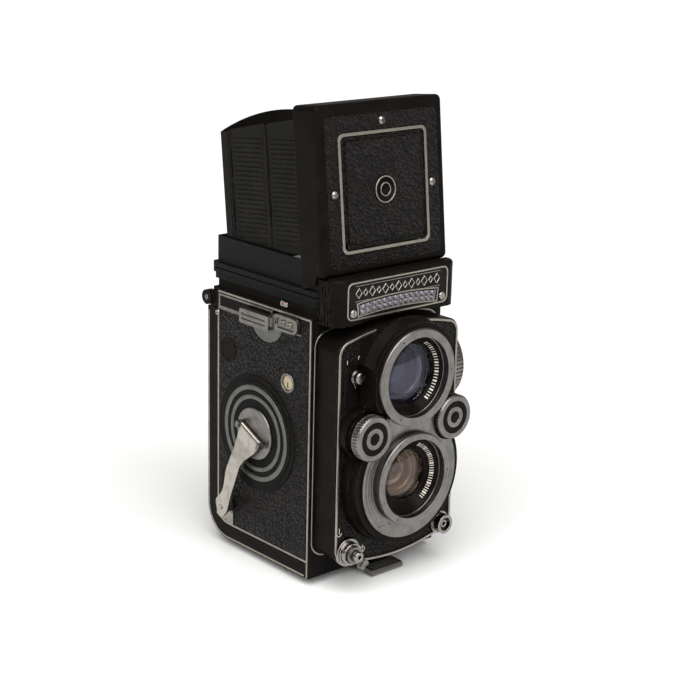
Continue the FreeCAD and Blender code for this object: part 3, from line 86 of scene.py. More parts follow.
# ---- shader graphs ------------------------------------------------------------------------------
class Graph:
    """A material's node tree, with short calls for the nodes that the finishes share."""

    def __init__(self, name):
        self.material = bpy.data.materials.new(name)
        self.material.use_nodes = True
        self.tree = self.material.node_tree
        self.shader = self.tree.nodes["Principled BSDF"]
        coordinates = self.node("ShaderNodeTexCoord")
        self.place = self.vector("SCALE", coordinates.outputs["Object"], scale=1 / MM)

    def node(self, kind, inputs=None, **settings):
        made = self.tree.nodes.new(kind)
        for key, value in settings.items():
            setattr(made, key, value)
        for key, value in (inputs or {}).items():
            self.feed(made.inputs[key], value)
        return made

    def feed(self, socket, value):
        if isinstance(value, bpy.types.NodeSocket):
            self.tree.links.new(value, socket)
        else:
            socket.default_value = value

    def set(self, **inputs):
        for key, value in inputs.items():
            self.feed(self.shader.inputs[key.replace("_", " ")], value)

    def vector(self, operation, a, b=None, scale=None):
        made = self.node("ShaderNodeVectorMath", {0: a}, operation=operation)
        if b is not None:
            self.feed(made.inputs[1], b)
        if scale is not None:
            self.feed(made.inputs["Scale"], scale)
        return made.outputs["Value" if operation in ("LENGTH", "DOT_PRODUCT") else "Vector"]

    def math(self, operation, a, b=0.0, clamp=False):
        made = self.node("ShaderNodeMath", {0: a, 1: b}, operation=operation, use_clamp=clamp)
        return made.outputs[0]

    def noise(self, size, detail=2.0, rough=0.5, place=None, distortion=0.0):
        """Noise whose blobs are about size millimetres across."""
        inputs = {"Vector": place or self.place, "Scale": 1 / size, "Detail": detail,
                  "Roughness": rough, "Distortion": distortion}
        return self.node("ShaderNodeTexNoise", inputs).outputs["Fac"]

    def cells(self, size, feature="F1", place=None, smooth=None, output="Distance"):
        """Cells about size millimetres across."""
        made = self.node("ShaderNodeTexVoronoi", {"Vector": place or self.place, "Scale": 1 / size},
                         feature=feature)
        if smooth is not None:
            made.inputs["Smoothness"].default_value = smooth
        return made.outputs[output]

    def fit(self, value, low, high, to_low, to_high):
        """Maps low..high to to_low..to_high and clamps there."""
        made = self.node("ShaderNodeMapRange", {"Value": value, "From Min": low, "From Max": high,
                                                "To Min": to_low, "To Max": to_high})
        return made.outputs["Result"]

    def blend(self, share, a, b):
        made = self.node("ShaderNodeMix", {0: share}, data_type="RGBA")
        self.feed(made.inputs[6], a)
        self.feed(made.inputs[7], b)
        return made.outputs[2]

    def warped(self, size, amount):
        """The millimetre coordinates, pushed about by noise."""
        made = self.node("ShaderNodeTexNoise", {"Vector": self.place, "Scale": 1 / size, "Detail": 1.0})
        centred = self.vector("SUBTRACT", made.outputs["Color"], (0.5, 0.5, 0.5))
        return self.vector("ADD", self.place, self.vector("SCALE", centred, scale=amount))

    def radius(self, along, centre):
        """Distance in millimetres from a turning axis: along is the axis's letter."""
        keep = [0.0 if letter == along else 1.0 for letter in "xyz"]
        offset = self.vector("SUBTRACT", self.place, tuple(centre))
        return self.vector("LENGTH", self.vector("MULTIPLY", offset, tuple(keep)))

    def bevel(self, radius):
        made = self.node("ShaderNodeBevel", {"Radius": radius * MM}, samples=4)
        return made.outputs["Normal"]

    def edges(self, rounded):
        """About 1 on the object's edges and 0 on its faces."""
        flat = self.node("ShaderNodeNewGeometry").outputs["Normal"]
        return self.fit(self.vector("DOT_PRODUCT", rounded, flat), 0.995, 0.90, 0.0, 1.0)

    def bump(self, height, depth, normal=None, strength=1.0):
        """Bump whose height of 0..1 is depth millimetres deep."""
        inputs = {"Height": height, "Distance": depth * MM, "Strength": strength}
        made = self.node("ShaderNodeBump", inputs)
        if normal is not None:
            self.feed(made.inputs["Normal"], normal)
        return made.outputs["Normal"]


def colour(r, g, b):
    return (r, g, b, 1.0)


BLACK = colour(0.0032, 0.0023, 0.0018)
BRASS = colour(0.30, 0.225, 0.12)
CHROME = colour(0.205, 0.195, 0.185)
CHROME_DULL = colour(0.105, 0.098, 0.090)


def painted(name, base=BLACK, rough=0.36, grain=0.5, depth=0.006, wear=0.5, edge=0.25, specular=0.05):
    """Stoved enamel: soft orange peel, faint clouding, dull patches and thin wear along the edges."""
    g = Graph(name)
    rounded = g.bevel(edge)
    clouds = g.noise(9.0, detail=4.0)
    patchy = g.noise(2.4, detail=5.0, rough=0.65)
    fine = g.noise(grain, detail=2.0)
    rub = g.math("MULTIPLY", g.edges(rounded), g.fit(patchy, 0.45, 0.72, 0.0, wear), clamp=True)
    lighter = tuple(min(1.0, c * 1.55 + 0.002) for c in base[:3]) + (1.0,)
    paint = g.blend(g.fit(clouds, 0.3, 0.75, 0.0, 1.0), base, lighter)
    g.set(Base_Color=g.blend(rub, paint, BRASS))
    dull = g.fit(patchy, 0.3, 0.75, rough - 0.07, rough + 0.13)
    g.set(Roughness=g.math("ADD", dull, g.math("MULTIPLY", rub, 0.15)))
    g.set(Metallic=g.math("MULTIPLY", rub, 0.6))
    g.set(Specular_IOR_Level=specular)
    g.set(Normal=g.bump(fine, depth, rounded))
    return g.material


def crinkled(name):
    """Wrinkle finish: a fine hard crackle with bright flecks on its crests."""
    g = Graph(name)
    rounded = g.bevel(0.25)
    place = g.warped(0.9, 0.5)
    crust = g.cells(0.62, "SMOOTH_F1", place, smooth=0.35)
    lumps = g.noise(0.35, detail=3.0, rough=0.7)
    height = g.math("ADD", g.math("MULTIPLY", crust, 0.8), g.math("MULTIPLY", lumps, 0.7))
    flecks = g.fit(g.noise(0.28, detail=1.0, place=place), 0.66, 0.74, 0.0, 1.0)
    g.set(Base_Color=g.blend(g.fit(height, 0.3, 0.9, 0.0, 1.0), colour(0.0075, 0.0065, 0.0056),
                             colour(0.0015, 0.0013, 0.0012)))
    g.set(Roughness=g.fit(flecks, 0.0, 1.0, 0.50, 0.22))
    g.set(Specular_IOR_Level=0.13)
    g.set(Normal=g.bump(height, 0.34, rounded, strength=1.0))
    return g.material


def leather(name, pebble=1.6):
    """Leather cloth: pressed pebbles with sharp creases and smoother polished tops. Its colour is painted
    shade, darker in the hollows and creases, and painted highlight, lighter on the pebble tops.
    """
    g = Graph(name)
    place = g.warped(2.2, 0.9)
    pebbles = g.cells(pebble, "SMOOTH_F1", place, smooth=0.55)
    creases = g.cells(pebble, "DISTANCE_TO_EDGE", place)
    wrinkles = g.cells(pebble * 2.7, "DISTANCE_TO_EDGE", g.warped(4.0, 2.4))
    skin = g.noise(0.22, detail=2.0)
    broad = g.noise(7.0, detail=2.0)
    dome = g.fit(pebbles, 0.0, 0.62, 1.0, 0.0)
    gap = g.fit(creases, 0.0, 0.11, 0.0, 1.0)
    fold = g.fit(wrinkles, 0.0, 0.14, 0.0, 1.0)
    height = g.math("ADD", g.math("MULTIPLY", dome, 0.55), g.math("MULTIPLY", gap, 0.30))
    height = g.math("ADD", height, g.math("MULTIPLY", fold, 0.30))
    height = g.math("ADD", height, g.math("MULTIPLY", skin, 0.06))
    height = g.math("ADD", height, g.math("MULTIPLY", broad, 0.45))
    painted_light_and_polish = g.fit(height, 0.55, 1.15, 0.0, 1.0)
    # painted shade darkens the hollows and creases and a painted highlight lightens the pebble tops; the same
    # mask makes the tops less rough, as polished
    g.set(Base_Color=g.blend(painted_light_and_polish, colour(0.0014, 0.0010, 0.0008), colour(0.0085, 0.0066, 0.0056)))
    g.set(Roughness=g.fit(painted_light_and_polish, 0.0, 1.0, 0.60, 0.26))
    g.set(Specular_IOR_Level=0.15)
    g.set(Normal=g.bump(height, 0.80, g.bevel(0.3), strength=1.0))
    return g.material


def metal(name, base=CHROME, dull=CHROME_DULL, rough=0.30, grain=0.25, depth=0.003, edge=0.2, turned=None):
    """Satin plated metal: fine grain, soft smudges and brighter edges. turned names an axis and centre."""
    g = Graph(name)
    rounded = g.bevel(edge)
    smudges = g.noise(5.0, detail=5.0, rough=0.6)
    speckle = g.noise(0.6, detail=3.0, rough=0.7)
    grit = g.noise(grain, detail=1.0)
    if turned is not None:
        radius = g.radius(*turned)
        rings = g.node("ShaderNodeTexNoise", {"W": radius, "Scale": 5.5, "Detail": 3.0, "Roughness": 0.8},
                       noise_dimensions="1D").outputs["Fac"]
        grit = g.math("ADD", g.math("MULTIPLY", rings, 1.6), g.math("MULTIPLY", grit, 0.4))
    bright = g.edges(rounded)
    stain = g.fit(smudges, 0.42, 0.78, 0.0, 0.75)
    body = g.blend(stain, base, dull)
    pits = g.fit(speckle, 0.66, 0.78, 0.0, 0.5)
    body = g.blend(pits, body, colour(0.16, 0.145, 0.12))
    g.set(Base_Color=g.blend(g.math("MULTIPLY", bright, 0.6), body, colour(0.62, 0.60, 0.55)))
    g.set(Metallic=1.0)
    g.set(Roughness=g.fit(smudges, 0.25, 0.8, rough - 0.05, rough + 0.14))
    g.set(Normal=g.bump(grit, depth, rounded))
    return g.material


def glass(name, tint, reflect, rough=0.0):
    """Lens glass with a coating that tints its reflection, and the faintest dust."""
    g = Graph(name)
    dust = g.fit(g.noise(0.5, detail=4.0, rough=0.75), 0.62, 0.8, 0.0, 0.05)
    g.set(Base_Color=tint, Transmission_Weight=1.0, IOR=1.52, Specular_Tint=reflect)
    g.set(Roughness=g.math("ADD", dust, rough))
    return g.material


def ground(name):
    """Finely ground focusing screen with a ruled grid."""
    g = Graph(name)
    grit = g.noise(0.08, detail=1.0)
    parts = g.node("ShaderNodeSeparateXYZ", {0: g.place})
    lines = []
    for letter in "XY":
        wave = g.math("PINGPONG", g.math("ADD", parts.outputs[letter], 3.5), 5.6)
        lines.append(g.math("LESS_THAN", wave, 0.09))
    ruled = g.math("MAXIMUM", lines[0], lines[1])
    g.set(Base_Color=g.blend(ruled, colour(0.40, 0.41, 0.40), colour(0.03, 0.03, 0.03)))
    g.set(Transmission_Weight=0.35, IOR=1.5)
    g.set(Roughness=g.fit(grit, 0.2, 0.8, 0.35, 0.6))
    g.set(Normal=g.bump(grit, 0.01))
    return g.material


def silvered(name):
    g = Graph(name)
    haze = g.noise(6.0, detail=4.0)
    g.set(Base_Color=g.blend(haze, colour(0.86, 0.87, 0.86), colour(0.80, 0.81, 0.81)))
    g.set(Metallic=1.0)
    g.set(Roughness=g.fit(haze, 0.4, 0.8, 0.02, 0.06))
    return g.material


def honeycomb(name):
    """Moulded clear plastic over a dark cell: violet-grey, with milky streaks."""
    g = Graph(name)
    streaks = g.noise(1.4, detail=4.0, rough=0.6)
    fine = g.noise(0.5, detail=2.0)
    g.set(Base_Color=g.blend(g.fit(streaks, 0.42, 0.66, 0.0, 1.0), colour(0.035, 0.030, 0.040),
                             colour(0.20, 0.18, 0.20)))
    g.set(Roughness=g.fit(fine, 0.3, 0.7, 0.08, 0.2))
    g.set(Coat_Weight=0.6)
    g.set(Specular_IOR_Level=0.7)
    g.set(Normal=g.bump(fine, 0.03))
    return g.material


def enamel(name, base, rough=0.4):
    """Engraving paint: slightly uneven, with a grainy edge."""
    g = Graph(name)
    grain = g.noise(0.35, detail=3.0, rough=0.7)
    darker = tuple(c * 0.62 for c in base[:3]) + (1.0,)
    g.set(Base_Color=g.blend(g.fit(grain, 0.4, 0.7, 0.0, 0.8), base, darker))
    g.set(Roughness=g.fit(grain, 0.3, 0.7, rough, rough + 0.2))
    g.set(Normal=g.bump(grain, 0.01))
    return g.material


# ---- materials of the CAD nodes -----------------------------------------------------------------
FINISH = {
    "black": painted("black_enamel"),
    "cast": painted("cast_black", rough=0.40, grain=0.9, depth=0.012, edge=0.35),
    "gloss": painted("gloss_black", rough=0.26, depth=0.003, wear=0.2),
    "matt": painted("matt_black", base=colour(0.0042, 0.0037, 0.0033), rough=0.62, grain=0.3, depth=0.01,
                    wear=0.0, specular=0.05),
    "leaf": painted("leaf_black", base=colour(0.0042, 0.0038, 0.0033), rough=0.30, grain=0.3, wear=0.5,
                    edge=0.12, specular=0.07),
    "dial": painted("dial_black", base=colour(0.003, 0.0027, 0.0024), rough=0.40, wear=0.25),
    "plate": painted("plate_grey", base=colour(0.0065, 0.006, 0.0055), rough=0.34, grain=0.3, wear=0.3),
    "crinkle": crinkled("crinkle_black"),
    "leather": leather("leather_cloth"),
    "chrome": metal("satin_chrome"),
    "bright": metal("bright_chrome", base=colour(0.30, 0.28, 0.26), rough=0.14, dull=CHROME,
                    depth=0.0015),
    "rim": metal("bare_rim", base=colour(0.33, 0.305, 0.26), dull=colour(0.19, 0.175, 0.145),
                 rough=0.36),
    "steel": metal("dull_steel", base=colour(0.20, 0.19, 0.172), dull=colour(0.115, 0.108, 0.095),
                   rough=0.30),
    "arm": metal("crank_steel", base=colour(0.45, 0.42, 0.375), dull=colour(0.25, 0.23, 0.20), rough=0.25),
    "ring": metal("dial_ring_grey", base=colour(0.145, 0.148, 0.14), dull=colour(0.095, 0.096, 0.09),
                  rough=0.38),
    "amber_metal": metal("amber_metal", base=colour(0.34, 0.22, 0.12), dull=colour(0.20, 0.13, 0.07)),
    "cream": enamel("cream_disc", colour(0.45, 0.38, 0.24)),
    "mirror": silvered("silvered_mirror"),
    "coated": glass("coated_glass", colour(0.50, 0.51, 0.56), colour(0.72, 0.70, 1.0)),
    "coated_amber": glass("coated_glass_amber", colour(0.62, 0.54, 0.46), colour(1.0, 0.78, 0.70)),
    "clear": glass("clear_glass", colour(1.0, 1.0, 1.0), colour(1.0, 1.0, 1.0)),
    "screen": ground("ground_screen"),
    "meter": honeycomb("meter_plastic"),
    "white": enamel("white_marks", colour(0.62, 0.59, 0.52)),
    "red": enamel("red_marks", colour(0.42, 0.035, 0.02)),
    "orange": enamel("orange_marks", colour(0.55, 0.13, 0.02)),
    "green": enamel("yellow_marks", colour(0.45, 0.42, 0.08)),
}

NODE_FINISH = {
    "black": ["crank_side_cover", "focus_side_cover", "back_door", "lens_block", "standard_housing",
              "meter_housing", "hood_lid", "spool_knob_upper", "spool_knob_lower"],
    "cast": ["magnifier_plate", "pressure_plate"],
    "matt": ["body_casting", "leaf_shutter", "takeup_spool", "supply_spool"],
    "gloss": ["lens_barrels"],
    "leaf": ["front_leaf_left", "rear_leaf_left", "front_leaf_right", "rear_leaf_right", "rear_panel"],
    "dial": ["crank_dial"],
    "plate": ["nameplate"],
    "crinkle": ["hood_base"],
    "leather": ["crank_side_leather", "focus_side_leather", "back_door_leather", "standard_leather",
                "lid_leather", "sports_panel"],
    "chrome": ["bayonets", "crank_hub", "lens_face_plate", "aperture_wheel", "shutter_speed_wheel",
               "focus_knob",
               "counter_window"],
    "bright": ["release_collar", "release_button", "sync_lever", "body_screws", "lid_screws",
               "flash_socket"],
    "rim": ["lid_trim"],
    "steel": ["strap_lugs", "door_latch", "release_lock", "door_feet", "tripod_socket", "film_roller_lower",
              "film_roller_upper", "door_hinge_pin"],
    "arm": ["crank_arm", "crank_handle"],
    "mirror": ["reflex_mirror"],
    "coated": ["viewing_lens"],
    "coated_amber": ["taking_lens"],
    "clear": ["magnifier_lens"],
    "screen": ["focusing_screen"],
    "meter": ["meter_window"],
}


def assign_finishes():
    for finish, names in NODE_FINISH.items():
        for name in names:
            slots = NODES[name].material_slots
            for slot in slots:
                slot.material = FINISH[finish]


# ---- mesh building ------------------------------------------------------------------------------
SMOOTH_BELOW = math.radians(35)


def finished(name, bm, matrix, body, finish, bevel=0.0, bevel_segments=2):
    """Turns a bmesh drawn in millimetres into a piece that rides on body."""
    bmesh.ops.recalc_face_normals(bm, faces=bm.faces)
    mesh = bpy.data.meshes.new(name)
    bm.to_mesh(mesh)
    bm.free()
    mesh.transform(TO_METRES @ matrix)
    mesh.shade_smooth()
    mesh.set_sharp_from_angle(angle=SMOOTH_BELOW)
    piece = bpy.data.objects.new(name, mesh)
    bpy.context.scene.collection.objects.link(piece)
    piece.data.materials.append(FINISH[finish])
    if bevel:
        modifier = piece.modifiers.new("edges", "BEVEL")
        modifier.width = bevel * MM
        modifier.segments = bevel_segments
        modifier.limit_method = "ANGLE"
        modifier.angle_limit = SMOOTH_BELOW
        modifier.use_clamp_overlap = True
        modifier.harden_normals = False
    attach(piece, body)
    return piece


def revolve(profile, steps=96, bm=None, centre=(0.0, 0.0)):
    """A closed ring whose section is profile, a loop of (radius, height) points."""
    bm = bm or bmesh.new()
    rings = []
    for k in range(steps):
        angle = 2 * math.pi * k / steps
        c, s = math.cos(angle), math.sin(angle)
        rings.append([bm.verts.new((centre[0] + r * c, centre[1] + r * s, h)) for r, h in profile])
    for k in range(steps):
        a, b = rings[k], rings[(k + 1) % steps]
        for n in range(len(profile)):
            m = (n + 1) % len(profile)
            bm.faces.new((a[n], b[n], b[m], a[m]))
    return bm


def disc(profile, steps=96, bm=None, centre=(0.0, 0.0)):
    """A closed round solid: profile runs from the axis at the foot to the axis at the top."""
    bm = bm or bmesh.new()
    low = bm.verts.new((centre[0], centre[1], profile[0][1]))
    high = bm.verts.new((centre[0], centre[1], profile[-1][1]))
    inner = profile[1:-1]
    rings = []
    for k in range(steps):
        angle = 2 * math.pi * k / steps
        c, s = math.cos(angle), math.sin(angle)
        rings.append([bm.verts.new((centre[0] + r * c, centre[1] + r * s, h)) for r, h in inner])
    for k in range(steps):
        a, b = rings[k], rings[(k + 1) % steps]
        bm.faces.new((low, b[0], a[0]))
        bm.faces.new((high, a[-1], b[-1]))
        for n in range(len(inner) - 1):
            bm.faces.new((a[n], b[n], b[n + 1], a[n + 1]))
    return bm


def prism(outline, low, high, bm=None):
    """A closed outline of (x, y) points raised from low to high."""
    bm = bm or bmesh.new()
    foot = [bm.verts.new((x, y, low)) for x, y in outline]
    top = [bm.verts.new((x, y, high)) for x, y in outline]
    bm.faces.new(foot)
    bm.faces.new(top)
    for k in range(len(outline)):
        m = (k + 1) % len(outline)
        bm.faces.new((foot[k], foot[m], top[m], top[k]))
    return bm


def block(x0, x1, y0, y1, low, high, bm=None):
    return prism([(x0, y0), (x1, y0), (x1, y1), (x0, y1)], low, high, bm)


def arc(cx, cy, r, start, end, steps):
    """Points on an arc, with angles in degrees from local x."""
    out = []
    for k in range(steps + 1):
        angle = math.radians(start + (end - start) * k / steps)
        out.append((cx + r * math.cos(angle), cy + r * math.sin(angle)))
    return out


def arc_through(a, b, c, steps):
    """Points on the arc from a through b to c."""
    ax, ay, bx, by, cx, cy = *a, *b, *c
    d = 2 * (ax * (by - cy) + bx * (cy - ay) + cx * (ay - by))
    ux = ((ax**2 + ay**2) * (by - cy) + (bx**2 + by**2) * (cy - ay) + (cx**2 + cy**2) * (ay - by)) / d
    uy = ((ax**2 + ay**2) * (cx - bx) + (bx**2 + by**2) * (ax - cx) + (cx**2 + cy**2) * (bx - ax)) / d
    r = math.hypot(ax - ux, ay - uy)
    turns = [math.atan2(p[1] - uy, p[0] - ux) for p in (a, b, c)]
    sweep = (turns[2] - turns[0]) % (2 * math.pi)
    if (turns[1] - turns[0]) % (2 * math.pi) > sweep:
        sweep -= 2 * math.pi
    out = []
    for k in range(steps + 1):
        angle = turns[0] + sweep * k / steps
        out.append((ux + r * math.cos(angle), uy + r * math.sin(angle)))
    return out


def strip(path, width, low, high, closed=False, bm=None):
    """A flat bead with bevelled shoulders along a path of (x, y) points."""
    bm = bm or bmesh.new()
    shoulder = min(0.18, width * 0.3)
    section = [(-width / 2, low), (-width / 2, high - shoulder), (-width / 2 + shoulder, high),
               (width / 2 - shoulder, high), (width / 2, high - shoulder), (width / 2, low)]
    count = len(path)
    rows = []
    for k, point in enumerate(path):
        before = path[(k - 1) % count] if closed or k > 0 else point
        after = path[(k + 1) % count] if closed or k < count - 1 else point
        into = Vector((point[0] - before[0], point[1] - before[1]))
        out = Vector((after[0] - point[0], after[1] - point[1]))
        into = into.normalized() if into.length > 1e-9 else out.normalized()
        out = out.normalized() if out.length > 1e-9 else into
        mean = (into + out).normalized()
        side = Vector((-mean.y, mean.x)) / max(0.35, mean.dot(out))
        rows.append([bm.verts.new((point[0] + side.x * u, point[1] + side.y * u, h)) for u, h in section])
    spans = range(count if closed else count - 1)
    for k in spans:
        a, b = rows[k], rows[(k + 1) % count]
        for n in range(len(section)):
            m = (n + 1) % len(section)
            bm.faces.new((a[n], b[n], b[m], a[m]))
    if not closed:
        bm.faces.new(rows[0])
        bm.faces.new(list(reversed(rows[-1])))
    return bm


def rounded(x0, x1, y0, y1, r, steps=8):
    """Outline of a rectangle with round corners."""
    return (arc(x1 - r, y0 + r, r, -90, 0, steps) + arc(x1 - r, y1 - r, r, 0, 90, steps)
            + arc(x0 + r, y1 - r, r, 90, 180, steps) + arc(x0 + r, y0 + r, r, 180, 270, steps))


# ---- both sides ---------------------------------------------------------------------------------
LINE = 1.15                              # width of the bare metal lines


def side_frame(side, x):
    """The frame of a side face and the sign that takes a model y to its local x."""
    if side < 0:
        return facing_crank_side(x, 0, 0), -1
    return facing_knob_side(x, 0, 0), 1


def side_lines():
    """Bare metal lines round each side cover's leather and along the film door's edge."""
    for side, tag in ((-1, "crank"), (1, "focus")):
        low, high = box_mm(tag + "_side_leather")
        door_low, door_high = box_mm("back_door")
        door_x = door_low.x if side < 0 else door_high.x
        place, sign = side_frame(side, door_x)
        front, rear, foot, top = low.y - 0.9, high.y + 0.7, low.z - 0.75, high.z + 0.75
        radius = 7.0
        cover = [(front, top), (front, foot)]
        cover += [(y, z) for y, z in arc(rear - radius, foot + radius, radius, -90, 0, 10)]
        cover += [(rear, high.z - 9.2)]
        loops = [cover, [(front, top), (rear, top)], [(rear, high.z - 7.6), (front + 1, high.z - 7.6)]]
        outer = 14.2
        rear, foot = high.y + 8.0, low.z - 7.95
        door = [(low.y + 1.0, foot)] + arc(rear - outer, foot + outer, outer, -90, 0, 14)
        door += [(rear, door_high.z - 9.0)]
        loops.append(door)
        loops.append([(front, low.z - 1.33), (front, low.z - 8.5)])
        for number, path in enumerate(loops):
            local = [(sign * y, z) for y, z in path]
            line = strip(local, LINE, -0.3, 0.09)
            body = "film_door" if number == 3 else "camera_body"
            finished(f"{tag}_side_line_{number}", line, place, body, "rim")
        recess = block(sign * (high.y - 1.0), sign * (low.y + 26.4), high.z - 5.7, high.z - 1.1, -0.2, 0.2)
        finished(f"{tag}_strap_inlay", recess, place, "camera_body", "gloss", bevel=0.15)
        stud = disc([(0, -0.5), (0.8, -0.5), (0.8, -0.16), (0.55, 0.02), (0, 0.02)], steps=24,
                    centre=(sign * (low.y + 21.0), low.z + 9.0))
        finished(f"{tag}_side_dimple", stud, place, "camera_body", "gloss")


def strap_seats():
    """Bare metal half discs below the strap fittings."""
    for side, tag in ((-1, "crank"), (1, "focus")):
        low, high = box_mm(tag + "_side_leather")
        cover_low, cover_high = box_mm("back_door")
        place, sign = side_frame(side, cover_low.x if side < 0 else cover_high.x)
        y, z, top = low.y + 30.0, high.z - 3.55, high.z - 7.8
        reach = math.degrees(math.asin((z - top) / 12.2))
        outline = arc(y, z, 12.2, 180 + reach, 360 - reach, 28)
        plate = prism([(sign * u, v) for u, v in outline], -0.75, -0.12)
        finished(f"{tag}_strap_seat", plate, place, "camera_body", "ring", bevel=0.1)


def corner_plate():
    """Bare metal corner with a round seat under the folded crank's tip."""
    low, high = box_mm("crank_side_leather")
    place, sign = side_frame(-1, box_mm("crank_side_cover")[0].x + 1.6)
    y, z = high.y - 6.2, low.z + 4.45
    right, foot = high.y, low.z + 0.05
    outline = [(y - 5.2, foot)] + arc(right - 5.8, foot + 5.8, 5.8, -90, 0, 8)
    outline += [(right, z + 5.5), (right - 1.0, z + 5.5)] + arc(y, z, 5.3, 10, 180, 20)
    plate = prism([(sign * u, v) for u, v in outline], -0.2, 0.62)
    finished("corner_plate", plate, place, "camera_body", "rim", bevel=0.12)
    seat = revolve([(3.4, 0.5), (4.6, 0.5), (4.6, 0.68), (4.4, 0.8), (3.6, 0.8), (3.4, 0.68)], steps=48,
                   centre=(sign * y, z))
    finished("corner_seat", seat, place, "camera_body", "bright")


def counter_disc():
    """The film counter's pale disc and pointer behind its window."""
    low, high = box_mm("counter_window")
    centre = (low + high) / 2
    place = facing_crank_side(low.x, centre.y, centre.z)
    face = disc([(0, -1.55), (3.3, -1.55), (3.3, -0.7), (3.1, -0.6), (0, -0.6)], steps=48)
    finished("counter_disc", face, place, "camera_body", "cream")
    pointer = prism([(-0.35, -2.4), (0.35, -2.4), (0.2, 0.3), (-0.2, 0.3)], -0.7, -0.48)
    finished("counter_mark", pointer, place, "camera_body", "gloss")


def dial_rings():
    low, high = box_mm("crank_dial")
    centre = (low + high) / 2
    for name, outer, inner in (("dial_ring_outer", 22.75, 20.55), ("dial_ring_inner", 18.15, 16.25)):
        ring = revolve([(inner, -0.4), (outer, -0.4), (outer, 0.02), (outer - 0.25, 0.12),
                        (inner + 0.25, 0.12), (inner, 0.02)], steps=160)
        finished(name, ring, facing_crank_side(low.x, centre.y, centre.z), "camera_body", "ring")


def focus_scale():
    """Marks round the focus knob's face, with a black centre inside a bright ring."""
    low, high = box_mm("focus_knob")
    centre = (low + high) / 2
    radius = (high.z - low.z) / 2
    place = facing_knob_side(high.x, centre.y, centre.z)
    marks = bmesh.new()
    for k in range(36):
        long = k % 3 == 0
        angle = math.radians(10 * k)
        c, s = math.cos(angle), math.sin(angle)
        r0, r1 = radius - (6.6 if long else 5.4), radius - 4.2
        corners = [(r0, -0.14), (r1, -0.14), (r1, 0.14), (r0, 0.14)]
        prism([(r * c - w * s, r * s + w * c) for r, w in corners], -0.84, -0.72, marks)
    finished("focus_scale", marks, place, "focus_knob", "gloss")
    inlay = revolve([(4.2, -0.9), (10.4, -0.9), (10.4, -0.72), (10.1, -0.62), (4.5, -0.62), (4.2, -0.72)],
                    steps=96)
    finished("focus_inlay", inlay, place, "focus_knob", "dial")
    cap = disc([(0, -0.9), (3.6, -0.9), (3.6, -0.5), (3.2, -0.25), (0, -0.1)], steps=64)
    finished("focus_cap", cap, place, "focus_knob", "bright")


def neck_catch():
    """Small two-colour catch lever on the finder's neck."""
    lid_low = box_mm("hood_base")[0]
    place = facing_crank_side(lid_low.x + 0.2, -15.3, 127.4)
    lever = prism([(-2.6, -1.5), (1.6, -1.9), (2.7, -0.6), (2.2, 1.2), (-1.8, 1.7), (-2.8, 0.4)], -1.6, 0.0)
    finished("neck_catch", lever, place, "camera_body", "bright", bevel=0.3)
    dot = disc([(0, -0.2), (0.7, -0.2), (0.7, 0.06), (0.5, 0.14), (0, 0.14)], steps=24, centre=(-0.9, 0.2))
    finished("neck_catch_dot", dot, place, "camera_body", "red")


# ---- front --------------------------------------------------------------------------------------
def standard_path(inset):
    """The lens standard's front edge drawn in by inset, clockwise from the top's middle."""
    low, high = box_mm("standard_housing")
    half, top, foot = high.x - inset, high.z, low.z
    slide = inset * 0.6
    shoulder = (31.0 - inset, top - 3.7 - inset)
    hip = (30.0 - inset, foot + 4.1 + inset)
    side = arc_through((half, top - 10.5 - slide), (half - 1.2, top - 6.5 - slide), shoulder, 8)
    crown = arc_through(shoulder, (0, top - inset), (-shoulder[0], shoulder[1]), 40)
    corner = arc_through(hip, (half - 1.6, foot + 6.6 + slide), (half, foot + 9.8 + slide), 8)
    belly = arc_through((-hip[0], hip[1]), (0, foot + inset), hip, 40)
    flip = [(-x, z) for x, z in reversed(side)]
    flop = [(-x, z) for x, z in reversed(corner)]
    return crown[:-1] + flip[:-1] + flop[:-1] + belly[:-1] + corner + side[:-1]


def standard_lines():
    """Bare metal lines round the lens standard's face and round its foot on the body."""
    low = box_mm("standard_housing")[0]
    path = standard_path(0.95)
    start = next(k for k, point in enumerate(path) if point[0] < -9)
    turned = path[start:] + path[:start]
    open_path = [p for p in turned if not (abs(p[0]) < 9 and p[1] > 100)]
    line = strip(open_path, LINE, -0.4, 0.10)
    finished("standard_line", line, facing_front(0, low.y, 0), "lens_standard", "rim")
    foot = strip(standard_path(-0.75), 0.8, -0.5, 0.22, closed=True)
    front = box_mm("crank_side_cover")[0].y
    finished("skirt_line", foot, facing_front(0, front, 0), "camera_body", "rim")


def cone_marks(name, node, glass_r, angles, radii, finish):
    """Painted marks on the sloping ring in front of a lens."""
    low = box_mm("bayonets")[0]
    centre = centre_mm(node)
    foot = low.y
    bore, depth, fall = 17.2, 3.42, 3.4
    marks = bmesh.new()
    for angle, width in angles:
        corners = []
        for r, turn in ((radii[0], -width), (radii[1], -width), (radii[1], width), (radii[0], width)):
            a = math.radians(angle + turn)
            h = -(depth + (bore - r) / (bore - glass_r - 0.6) * fall)
            corners.append((r * math.cos(a), r * math.sin(a), h))
        rows = [[marks.verts.new((x, y, h + lift)) for x, y, h in corners] for lift in (-0.1, 0.06)]
        for k in range(4):
            m = (k + 1) % 4
            marks.faces.new((rows[0][k], rows[0][m], rows[1][m], rows[1][k]))
        marks.faces.new(rows[0])
        marks.faces.new(rows[1])
    finished(name, marks, facing_front(0, foot, centre.z), "lens_standard", finish)


def bezel_marks():
    """Rows of short white marks on the black ring of each lens."""
    tall = [(58 - 5.2 * k, 0.8 if k % 3 else 1.5) for k in range(22)]
    cone_marks("viewing_marks", "viewing_lens", VIEW_GLASS, tall, (15.3, 16.4), "white")
    wide = [(66 - 4.6 * k, 0.8 if k % 4 else 1.6) for k in range(27)]
    cone_marks("taking_marks", "taking_lens", TAKE_GLASS, wide, (14.2, 15.8), "white")


VIEW_GLASS, TAKE_GLASS = 14.05, 11.8     # radii of the lenses' seats


